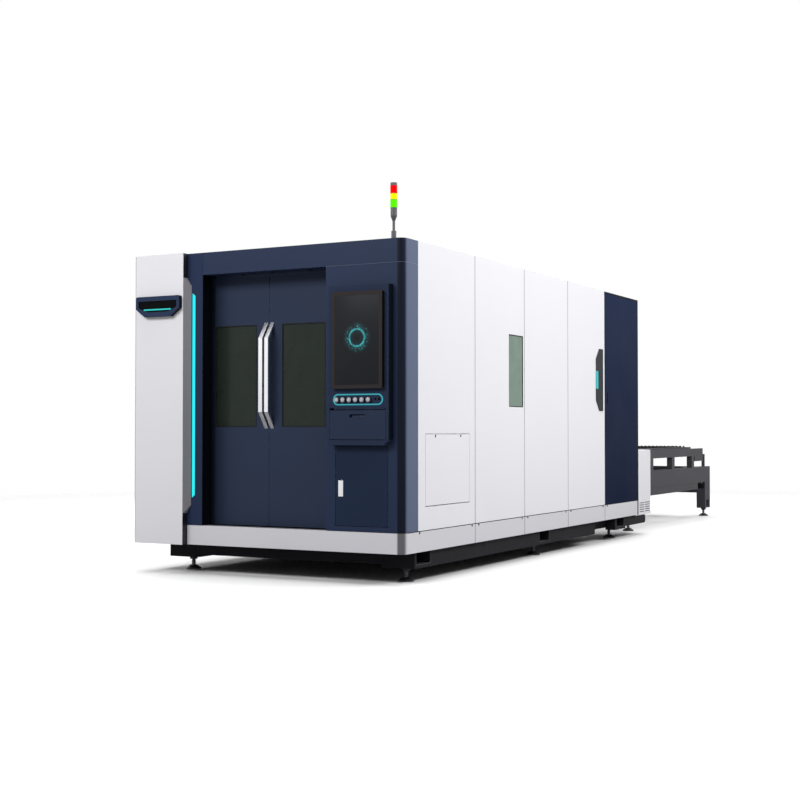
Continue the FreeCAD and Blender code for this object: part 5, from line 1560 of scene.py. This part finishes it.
@dataclass
class Console:
    """Console housing with the monitor, the buttons and the keyboard flap."""

    bezel: float = 0.024
    bezel_depth: float = 0.002
    glass_clear: float = 0.0003
    glass_set: float = 0.0005
    glass_edge: float = 0.0005
    ring_centre: tuple[float, float] = (0.7578, 1.571)
    ring_radius: float = 0.058
    button_count: int = 6
    button_face: float = 0.001
    cap_radius: float = 0.0105
    cap_height: float = 0.0012
    cap_out: float = 0.0010
    cap_edge: float = 0.0004
    cap_face: float = 0.00045
    flange_radius: float = 0.0125
    flange_height: float = 0.0004
    flange_out: float = 0.0002
    port_spots: tuple[tuple[float, float], ...] = ((0.877, 0.007), (0.904, 0.008))
    port_level: float = 1.181
    port_length: float = 0.002
    port_rim: float = 0.3
    port_dish: float = 0.001
    port_edge: float = 0.0002
    flap_thick: float = 0.016
    board_foot: float = 0.028
    key_pitch: float = 0.019
    key_size: float = 0.016
    key_height: float = 0.0016
    key_share: float = 0.86
    key_edge: float = 0.0004
    key_rows: int = 6
    key_columns: int = 18
    bar_first: int = 4
    bar_keys: int = 6
    slot_width: float = 0.120
    slot_height: float = 0.025
    slot_drop: float = 0.026
    slot_depth: float = 0.008
    slot_clear: float = 0.001
    cup_thick: float = 0.0012
    cup_rim: float = 0.0012
    cup_dish: float = 0.0006
    cup_round: float = 0.38
    cup_steps: int = 5
    # Sizes of the black painted shadow in the flap's finger slot, with the strip's height and end below.
    painted_shadow_radius: float = 0.008
    painted_shadow_thick: float = 0.002
    painted_shadow_edge: float = 0.0004
    lip_height: float = 0.0032
    lip_end: float = 0.008
    sill_start: float = 0.036
    sill_end: float = 0.012
    sill_set: float = 0.0015
    sill_back: float = 0.010
    sill_level: float = 1.1165
    sill_rim: float = 0.0015
    sill_dish: float = 0.0006
    sill_edge: float = 0.0005
    mouth_top: float = 1.1248

    def build(self) -> None:
        """Dress the console and add its display, ports, caps and keys."""
        low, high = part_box("console_housing")
        self.face = low.y
        # The housing's right side is painted near black: painted shade.
        housing = Bands(Axis.X, (high.x - SKIN,), (CONSOLE_NAVY.colour, srgb(12, 17, 26)))
        dress(PowderCoat("console_housing_coat", housing, 0.4, specular=0.04, mottle=0.03), "console_housing")
        dress(CASE_NAVY, "cabinet_door")
        dress(HANDLE_STEEL, "cabinet_latch")
        flap = Bands(Axis.Y, (self.face + self.flap_thick,), (CONSOLE_NAVY.colour, srgb(30, 31, 34)))
        dress(PowderCoat("flap_and_keyboard", flap, 0.4, specular=0.08), "keyboard_flap")
        # The monitor's right side is painted near black: painted shade.
        case = Bands(Axis.X, (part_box("monitor")[1].x - SKIN,), (srgb(52, 48, 49), srgb(8, 8, 10)))
        dress(Moulded("monitor_plastic", case, 0.5, specular=0.06), "monitor")
        self.display()
        for number in range(1, self.button_count + 1):
            self.button_cap(number)
        self.ports()
        self.keys()
        self.slot_cup()
        self.slot_painted_shadow()
        self.flap_sill()

    def display(self) -> None:
        """The glass of the screen, lit by its ring gauge."""
        low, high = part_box("monitor")
        inset = Vector((self.bezel + self.glass_clear, 0.0, self.bezel + self.glass_clear))
        glass = Piece.block("display_glass", low + inset + Axis.Y.vector(self.glass_set),
                            Vector((high.x, low.y + self.bezel_depth, high.z)) - inset)
        screen = ScreenGlass("display_screen", srgb(41, 42, 46), 0.3, self.ring_centre, self.ring_radius,
                             srgb(58, 176, 180), specular=0.04)
        glass.soften(self.glass_edge).smooth().fit(screen, "machine", "black_plastic")

    def button_cap(self, number: int) -> None:
        """A pale cap on a dark ring in the middle of a button, their sides painted darker as painted shade.

        Args:
            number: Number of the button.
        """
        low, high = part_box(f"button_{number}")
        middle = (low + high) / 2
        # The button is pale on its face and painted dark on its sides: painted shade.
        body = Bands(Axis.Y, (low.y + self.button_face,), (srgb(186, 185, 192), srgb(30, 32, 38)))
        dress(Moulded("button_body", body, 0.4, specular=0.2), f"button_{number}")
        ring = Piece.rod(f"button_cap_{number}", (middle.x, low.y - self.flange_out, middle.z),
                         self.flange_radius, self.flange_height, Axis.Y, sides=32)
        cap = Piece.rod("cap", (middle.x, low.y - self.cap_out, middle.z), self.cap_radius, self.cap_height,
                        Axis.Y, sides=32)
        # The cap's sides are painted grey below its pale face: painted shade.
        top = Bands(Axis.Y, (low.y - self.cap_face,), (srgb(206, 205, 211), srgb(120, 120, 126)))
        ring.join(cap.soften(self.cap_edge)).smooth().fit(Moulded("button_cap", top, 0.4, specular=0.2),
                                                          f"button_{number}", "button_plastic")

    def ports(self) -> None:
        """The key switch and the round socket beside the buttons."""
        for number, (across, radius) in enumerate(self.port_spots, 1):
            port = Piece.rod(f"console_port_{number}",
                             (across, self.face - self.port_length / 2, self.port_level), radius,
                             self.port_length, Axis.Y)
            port.dish([Axis.Y.vector(-1.0)], radius * self.port_rim, -self.port_dish, wall=STEP)
            port.soften(self.port_edge, 1).smooth().fit(SLOT_BLACK, "machine", "black_plastic")

    def keys(self) -> None:
        """Rows of keys on the board behind the flap, the lowest with a long space bar."""
        low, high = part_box("keyboard_flap")
        left = (low.x + high.x) / 2 - self.key_pitch * self.key_columns / 2
        first = Vector((left, high.y, low.z + self.board_foot))
        size = Vector((self.key_size, self.key_height, self.key_size))
        key = Piece.block("keyboard_keys", first, first + size)
        key.drawn(Axis.Y.vector(), 0.0, (self.key_share, 1.0, self.key_share),
                  first + Vector((0.5, 0.0, 0.5)) * self.key_size).soften(self.key_edge, 1)
        under_bar = range(self.bar_first, self.bar_first + self.bar_keys)
        spots = [(column, row) for row in range(self.key_rows) for column in range(self.key_columns)
                 if (column, row) != (0, 0) and (row or column not in under_bar)]
        start = first + Axis.X.vector(self.key_pitch * self.bar_first)
        length = self.key_pitch * self.bar_keys - (self.key_pitch - self.key_size)
        bar = Piece.block("space_bar", start, start + Vector((length, self.key_height, self.key_size)))
        key.repeat(Vector((column, 0.0, row)) * self.key_pitch for column, row in spots)
        key.join(bar.soften(self.key_edge, 1)).smooth().fit(KEY_GREY, "keyboard_flap", "black_plastic")

    def slot_box(self) -> tuple[float, float, float, float]:
        """Where the flap's finger slot is.

        Returns:
            Its left and right end, its top and its floor.
        """
        low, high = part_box("keyboard_flap")
        middle, half = (low.x + high.x) / 2, self.slot_width / 2
        return middle - half, middle + half, high.z - self.slot_drop, self.face + self.slot_depth

    def slot_cup(self) -> None:
        """The cup behind the flap's finger slot."""
        left, right, top, floor = self.slot_box()
        gap = self.slot_clear
        cup = Piece.block("flap_slot_cup", (left + gap, floor - self.cup_thick, top - self.slot_height + gap),
                          (right - gap, floor, top - gap))
        cup.round_edges(lambda one, other: abs(one.y - other.y) > self.cup_thick / 2,
                        self.slot_height * self.cup_round, self.cup_steps)
        cup.dish([Axis.Y.vector(-1.0)], self.cup_rim, -self.cup_dish)
        cup.smooth().fit(CONSOLE_NAVY, "keyboard_flap", "navy_paint")

    def slot_painted_shadow(self) -> None:
        """A painted shadow in the cup: a black strip under its top edge and a round patch at its left end."""
        left, right, top, floor = self.slot_box()
        start, face = left + self.painted_shadow_radius + self.slot_clear, floor - self.cup_thick
        painted_shadow = Piece.rod("flap_slot_hook",
                         (start, face - self.painted_shadow_thick / 2, top - self.painted_shadow_radius - 2 * self.slot_clear),
                         self.painted_shadow_radius, self.painted_shadow_thick, Axis.Y, sides=20)
        under = top - self.slot_clear - self.lip_height
        lip = Piece.block("lip", (start, face - self.painted_shadow_thick, under),
                          (right - self.lip_end, face, top - self.slot_clear))
        painted_shadow.soften(self.painted_shadow_edge, 1).join(lip.soften(self.painted_shadow_edge, 1))
        painted_shadow.smooth().fit(SLOT_BLACK, "keyboard_flap", "black_plastic")

    def flap_sill(self) -> None:
        """The strip that closes the console's mouth over the flap, open at its left end."""
        low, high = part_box("keyboard_flap")
        sill = Piece.block("flap_sill", (low.x + self.sill_start, self.face + self.sill_set, self.sill_level),
                           (high.x - self.sill_end, self.face + self.sill_back, self.mouth_top))
        sill.dish([Axis.Y.vector(-1.0)], self.sill_rim, -self.sill_dish)
        sill.soften(self.sill_edge).smooth().fit(CONSOLE_NAVY, "machine", "navy_paint")


@dataclass
class SignalTower:
    """Pole with the stacked lenses."""

    heights: tuple[float, ...] = (0.053, 0.093, 0.145)
    ring_height: float = 0.0025
    ring_radius: float = 0.0236
    nut_radius: float = 0.021
    nut_height: float = 0.008
    nut_rim: float = 0.002
    nut_rise: float = 0.001
    edge: float = 0.0006

    def build(self) -> None:
        """Dress the tower and add the rings between its lenses and the nut at its foot."""
        low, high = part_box("lamp_lenses")
        middle = (low + high) / 2
        green, yellow, red, grey = srgb(98, 252, 2), srgb(255, 252, 2), srgb(252, 2, 6), srgb(112, 110, 114)
        lenses = Bands(Axis.Z, tuple(low.z + height for height in self.heights), (green, yellow, red, grey))
        dress(Moulded("lens_plastic", lenses, 0.4, grain=0.02, glow=0.7, specular=0.03, dimmed=0.35),
              "lamp_lenses")
        dress(TOWER_GREY, "lamp_stem")
        ring = Piece.rod("lens_rings", (middle.x, middle.y, low.z), self.ring_radius, self.ring_height,
                         Axis.Z, sides=32)
        ring.soften(self.edge).smooth().repeat(Axis.Z.vector(height) for height in self.heights)
        ring.fit(RING_GREY, "machine", "dark_steel")
        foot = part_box("lamp_stem")[0].z
        nut = Piece.rod("tower_nut", (middle.x, middle.y, foot + self.nut_height / 2), self.nut_radius,
                        self.nut_height, Axis.Z, sides=6)
        nut.dish([Axis.Z.vector()], self.nut_rim, self.nut_rise)
        nut.soften(self.edge).smooth().fit(RING_GREY, "machine", "dark_steel")


@dataclass
class CuttingUnit:
    """Bed, gantry, carriage and cutting head inside the cabin."""

    chain_start: float = -0.70
    link_length: float = 0.036
    link_pitch: float = 0.040
    link_width: float = 0.062
    link_height: float = 0.034
    link_wall: float = 0.005
    link_count: int = 17
    edge: float = 0.0012
    nozzle_top: float = 0.026
    cover_low: float = 0.090
    collar_level: float = 0.060
    collar_radius: float = 0.0325
    collar_height: float = 0.018
    collar_rim: float = 0.003
    screw_inset: float = 0.012
    screw_radius: float = 0.006
    screw_height: float = 0.003

    def build(self) -> None:
        """Dress the unit, and add its cable carrier and the head's fittings."""
        dress(INNER_GREY, "machine_bed", "gantry_beam")
        dress(BRIGHT_STEEL, "carriage")
        dress(WHITE, "laser_source")
        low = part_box("cutting_head")[0]
        head = Bands(Axis.Z, (low.z + self.nozzle_top, low.z + self.cover_low),
                     (COPPER.colour, BRIGHT_STEEL.colour, srgb(60, 61, 66)))
        dress(Metal("head_and_nozzle", head, 0.3), "cutting_head")
        self.cable_carrier()
        self.head_fittings()

    def cable_carrier(self) -> None:
        """A chain of plastic links that lies on the gantry beam."""
        low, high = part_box("gantry_beam")
        start = Vector((self.chain_start, (low.y + high.y) / 2, high.z))
        link = Piece.block("gantry_cable_carrier", start,
                           start + Vector((self.link_length, self.link_width, self.link_height)))
        link.hollow(Axis.X, self.link_wall).soften(self.edge, 1).smooth()
        link.repeat(Axis.X.row(self.link_pitch, self.link_count)).fit(CHAIN_BLACK, "gantry", "black_plastic")

    def head_fittings(self) -> None:
        """The collar of the nozzle and the screws of the head's cover."""
        low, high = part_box("cutting_head")
        middle, inset = (low + high) / 2, self.screw_inset
        collar = Piece.rod("nozzle_collar", (middle.x, middle.y, low.z + self.collar_level),
                           self.collar_radius, self.collar_height, Axis.Z, sides=32)
        collar.dish(Axis.Z.both_ways(), self.collar_rim)
        collar.soften(self.edge).smooth().fit(COPPER, "cutting_head", "bare_steel")
        places = [Vector((across, low.y, up)) for across in (low.x + inset, high.x - inset)
                  for up in (low.z + self.cover_low + inset, high.z - inset)]
        screws("head_cover_screws", places, self.screw_radius, self.screw_height,
               Axis.Y.vector(-1.0)).fit(ZINC, "cutting_head", "bare_steel")


@dataclass
class ExchangeTable:
    """Table, rails and both pallets."""

    tooth_pitch: float = 0.045
    tooth_height: float = 0.024
    tooth_point: float = 0.06
    hub_radius: float = 0.018
    hub_height: float = 0.004
    hub_out: float = 0.002
    hub_rim: float = 0.005
    hub_wall: float = 0.0003
    hub_dish: float = 0.0012
    hub_edge: float = 0.0003
    louvre_low: float = 0.217
    louvre_pitch: float = 0.0205
    louvre_height: float = 0.006
    louvre_front: float = 0.120
    louvre_length: float = 0.140
    louvre_step: float = 0.165
    louvre_rows: int = 5
    louvre_columns: int = 2
    louvre_sunk: float = 0.0022
    louvre_out: float = 0.0003
    louvre_rim: float = 0.001
    louvre_dish: float = 0.0006
    screw_inset: float = 0.014
    screw_radius: float = 0.005
    screw_height: float = 0.0025
    flange: float = 0.100
    leg_length: float = 0.209
    web_inset: float = 0.009
    web_thick: float = 0.008
    web_height: float = 0.090
    web_drop: float = 0.004
    web_edge: float = 0.001
    notch_length: float = 0.300
    notch_height: float = 0.073
    weld_start: float = 0.002
    weld_sunk: float = 0.001
    weld_out: float = 0.0008
    weld_height: float = 0.003
    weld_edge: float = 0.0004

    def build(self) -> None:
        """Dress the table and its pallets, and add slats, hubs, louvres, screws, webs and welds."""
        dress(TABLE_GREY, "table_beams", "table_rails", "table_frame", "pallet_upper", "pallet_lower")
        dress(SLAT_STEEL, "slats_upper", "slats_lower")
        dress(BLACK_STEEL, "hatch_lock_front", "hatch_lock_rear")
        dress(WHITE, "drive_cabinet")
        for tier in ("upper", "lower"):
            self.toothed_slats(tier)
            for end in ("front", "rear"):
                self.wheel_hubs(f"wheelset_{tier}_{end}")
        self.louvres()
        self.cover_screws()
        self.leg_webs()
        self.beam_welds()

    def toothed_slats(self, tier: str) -> None:
        """Slats with a fine row of points along their whole top edge.

        Args:
            tier: Name of the pallet.
        """
        boxes = solid_boxes(f"slats_{tier}")
        low, high = boxes[0]
        count = round((high.x - low.x) / self.tooth_pitch)
        pitch = (high.x - low.x) / count
        tooth = Piece.block(f"toothed_slats_{tier}", low, (low.x + pitch, high.y, high.z - self.tooth_height))
        tooth.drawn(Axis.Z.vector(), self.tooth_height, (self.tooth_point, 1.0, 1.0),
                    (low.x + pitch / 2, low.y, high.z))
        tooth.without(lambda face: abs(face.normal.x) > Piece.aligned)
        tooth.repeat(Axis.X.row(pitch, count)).weld()
        tooth.repeat(Axis.Y.vector(box[0].y - low.y) for box in boxes[1:])
        tooth.fit(SLAT_STEEL, f"pallet_{tier}", "slat_steel")
        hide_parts(f"slats_{tier}")

    def wheel_hubs(self, wheelset: str) -> None:
        """A turned hub with its sunk ring on the outer face of each wheel.

        Args:
            wheelset: Name of the wheelset.
        """
        dress(BRIGHT_STEEL, wheelset)
        low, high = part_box(wheelset)
        middle = (low + high) / 2
        for side, face, sign in (("right", high.x, 1.0), ("left", low.x, -1.0)):
            across = face - sign * self.hub_height / 2 + sign * self.hub_out
            hub = Piece.rod(f"{wheelset}_hub_{side}", (across, middle.y, middle.z), self.hub_radius,
                            self.hub_height, Axis.X)
            hub.dish([Axis.X.vector(sign)], self.hub_rim, -self.hub_dish, wall=self.hub_wall)
            hub.soften(self.hub_edge, 1).smooth().fit(BLACK_STEEL, wheelset, "bare_steel")

    def louvres(self) -> None:
        """Black inserts in two columns of slots on the drive cabinet's side: painted shade inside the slots.
        """
        low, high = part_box("drive_cabinet")
        start = Vector((high.x - self.louvre_sunk, low.y + self.louvre_front, self.louvre_low))
        size = Vector((self.louvre_sunk + self.louvre_out, self.louvre_length, self.louvre_height))
        slot = Piece.block("louvre_slots", start, start + size)
        slot.dish([Axis.X.vector()], self.louvre_rim, -self.louvre_dish)
        slot.at_each([Vector((0.0, column * self.louvre_step, row * self.louvre_pitch))
                      for column in range(self.louvre_columns) for row in range(self.louvre_rows)])
        slot.fit(SLOT_BLACK, "machine", "black_plastic")

    def cover_screws(self) -> None:
        """Screws at the corners of the drive cabinet's side."""
        low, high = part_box("drive_cabinet")
        inset = self.screw_inset
        places = [Vector((high.x, along, up)) for along in (low.y + 2 * inset, high.y - inset)
                  for up in (low.z + inset, high.z - inset)]
        screws("cabinet_screws", places, self.screw_radius, self.screw_height,
               Axis.X.vector()).fit(ZINC, "machine", "bare_steel")

    def leg_webs(self) -> None:
        """The plates that carry each rear leg's face up into its beam."""
        low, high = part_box("table_beams")
        inner, outer, start = high.x - self.flange, high.x - self.web_inset, high.y - self.leg_length
        web = Piece.block("leg_webs", (inner, start, low.z - self.web_drop),
                          (outer, start + self.web_thick, low.z + self.web_height))
        web.soften(self.web_edge).repeat([Axis.X.vector(-inner - outer)])
        # The plates take the dark screw steel, not the table's grey: painted shade of the leg's open channel.
        web.smooth().fit(BLACK_STEEL, "machine", "table_paint")

    def beam_welds(self) -> None:
        """The joint between each beam and the plate welded under it."""
        low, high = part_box("table_beams")
        end = high.y - self.leg_length - self.notch_length
        level, half = low.z + self.notch_height, self.weld_height / 2
        for side, face, sign in (("right", high.x, 1.0), ("left", low.x, -1.0)):
            near, far = sorted((face - sign * self.weld_sunk, face + sign * self.weld_out))
            bead = Piece.block(f"beam_weld_{side}", (near, low.y + self.weld_start, level - half),
                               (far, end, level + half))
            bead.soften(self.weld_edge, 1).smooth().fit(BLACK_STEEL, "machine", "table_paint")


# ---------------------------------------------------------------------------------------------
# Studio
# ---------------------------------------------------------------------------------------------
def hang(name: str, data: bpy.types.ID, place: Vector, turn: Iterable[float]) -> bpy.types.Object:
    """Put a lamp or camera into the scene.

    Args:
        name: Name of the object.
        data: The lamp or camera.
        place: Where it hangs.
        turn: Its rotation.

    Returns:
        The object.
    """
    thing = bpy.data.objects.new(name, data)
    bpy.context.scene.collection.objects.link(thing)
    thing.location = place
    thing.rotation_euler = turn
    return thing


@dataclass(frozen=True)
class Softbox:
    """A large soft lamp near the machine.

    Attributes:
        name: Name of the lamp.
        place: Where it hangs.
        target: What it looks at.
        width: Its level side, in metres.
        radiance: How bright its face is, 1 for white.
        height: Its other side, in metres.
    """

    name: str
    place: tuple[float, float, float]
    target: tuple[float, float, float]
    width: float
    radiance: float
    height: float = 2.0

    def build(self) -> None:
        """Hang the lamp and aim it."""
        data = bpy.data.lights.new(self.name, "AREA")
        data.shape = "RECTANGLE"
        data.size, data.size_y = self.width, self.height
        data.energy = self.radiance * math.pi * self.width * self.height
        away = Vector(self.place) - Vector(self.target)
        hang(self.name, data, Vector(self.place), away.to_track_quat("Z", "Y").to_euler())


@dataclass(frozen=True)
class SoftSky:
    """A very wide, distant light.

    Attributes:
        name: Name of the lamp.
        source: Direction from the machine towards the light.
        level: Brightness of white paper that faces it, 1 for white.
        spread: Angle that the light fills, in degrees.
        distance: How far off its marker stands, in metres.
    """

    name: str
    source: tuple[float, float, float]
    level: float
    spread: float
    distance: float = 10.0

    def build(self) -> None:
        """Hang the light."""
        data = bpy.data.lights.new(self.name, "SUN")
        data.energy = self.level * math.pi
        data.angle = math.radians(self.spread)
        source = Vector(self.source)
        hang(self.name, data, source * self.distance, source.to_track_quat("Z", "Y").to_euler())


TOP_LIGHT = SoftSky("top_light", (0.0, 0.25, 1.0), level=0.70, spread=60.0)
FRONT_BOX = Softbox("front_box", (-1.5, -9.5, 5.0), (0.0, -4.0, 1.9), width=5.0, radiance=9.4)
SIDE_BOX = Softbox("side_box", (6.5, -1.7, 5.2), (1.0, -1.7, 1.9), width=9.0, radiance=7.6)
LEFT_BOX = Softbox("left_box", (-7.5, -1.0, 4.2), (-1.0, -1.0, 1.4), width=8.0, radiance=4.2)
REAR_BOX = Softbox("rear_box", (-1.0, 8.5, 4.2), (0.0, 0.6, 1.6), width=5.0, radiance=4.2)


@dataclass
class Studio:
    """Camera, plain lights, pale world and paper floor."""

    camera_place: tuple[float, float, float] = (5.00728, -11.37393, 0.97709)
    camera_tilt: float = 91.3421
    camera_turn: float = 28.3146
    lens: float = 60.12
    sensor: float = 36.0
    clip_end: float = 200.0
    ambient: float = 0.20
    floor_radius: float = 11.0
    floor_sides: int = 96
    floor_fade: float = 3.5
    floor_colour: Colour = (0.93, 0.93, 0.93)
    floor_bounce: Colour = (0.28, 0.28, 0.28)

    def build(self) -> None:
        """Set the whole studio."""
        bpy.context.scene.view_settings.view_transform = "Standard"
        self.set_camera()
        self.set_world()
        self.set_floor()
        for lamp in (TOP_LIGHT, FRONT_BOX, SIDE_BOX, LEFT_BOX, REAR_BOX):
            lamp.build()

    def set_camera(self) -> None:
        """Stand the camera where the photograph was taken from."""
        data = bpy.data.cameras.new("camera")
        data.sensor_width = self.sensor
        data.lens = self.lens
        data.clip_end = self.clip_end
        turn = (math.radians(self.camera_tilt), 0.0, math.radians(self.camera_turn))
        bpy.context.scene.camera = hang("camera", data, Vector(self.camera_place), turn)

    def set_world(self) -> None:
        """White to the camera and in reflections, and a dimmer light all round."""
        world = bpy.data.worlds.new("studio")
        bpy.context.scene.world = world
        sheet = NodeSheet.cleared(world)
        rays = sheet.add("ShaderNodeLightPath").outputs
        mirrored = sheet.sum("MAXIMUM", rays["Is Glossy Ray"], rays["Is Transmission Ray"])
        seen = sheet.sum("MAXIMUM", rays["Is Camera Ray"], mirrored)
        strength = sheet.ramp(seen, 0.0, 1.0, self.ambient, 1.0)
        back = sheet.add("ShaderNodeBackground", Color=WHITE_LIGHT, Strength=strength)
        sheet.add("ShaderNodeOutputWorld", Surface=back.outputs[0])

    def set_floor(self) -> None:
        """A round sheet of white paper that keeps the shadow and fades away at its rim."""
        bpy.ops.object.select_all(action="DESELECT")
        bpy.ops.mesh.primitive_circle_add(vertices=self.floor_sides, radius=self.floor_radius,
                                          fill_type="NGON")
        floor = bpy.context.object
        floor.name = "floor"
        floor.data.materials.append(self.floor_paper())

    def floor_paper(self) -> bpy.types.Material:
        """The floor's material, as pale to the camera as the background.

        Returns:
            The material.
        """
        paper = bpy.data.materials.new("floor_paper")
        sheet = NodeSheet.cleared(paper)
        reach = sheet.add("ShaderNodeVectorMath", {"operation": "LENGTH"}, Vector=sheet.place())
        seen = sheet.add("ShaderNodeLightPath").outputs["Is Camera Ray"]
        tone = sheet.blend(seen, self.floor_bounce, self.floor_colour)
        fibre = sheet.relief(sheet.noise(300.0, 2.0), 0.05, depth=0.0003)
        matt = sheet.add("ShaderNodeBsdfDiffuse", Color=tone, Normal=fibre)
        clear = sheet.add("ShaderNodeBsdfTransparent")
        fade = sheet.ramp(reach.outputs["Value"], self.floor_radius - self.floor_fade, self.floor_radius)
        mix = sheet.add("ShaderNodeMixShader", Fac=fade)
        sheet.feed(mix, 1, matt.outputs[0])
        sheet.feed(mix, 2, clear.outputs[0])
        sheet.add("ShaderNodeOutputMaterial", Surface=mix.outputs[0])
        return paper


def main() -> None:
    """Build the sub-assemblies in order, then the studio."""
    logging.basicConfig(level=logging.INFO, format="%(message)s")
    for assembly in (WeldedBase, Cabin, FrontDoors, Console, SignalTower, CuttingUnit, ExchangeTable, Studio):
        LOG.info("-- %s", assembly.__name__)
        assembly().build()


if __name__ == "__main__":
    main()
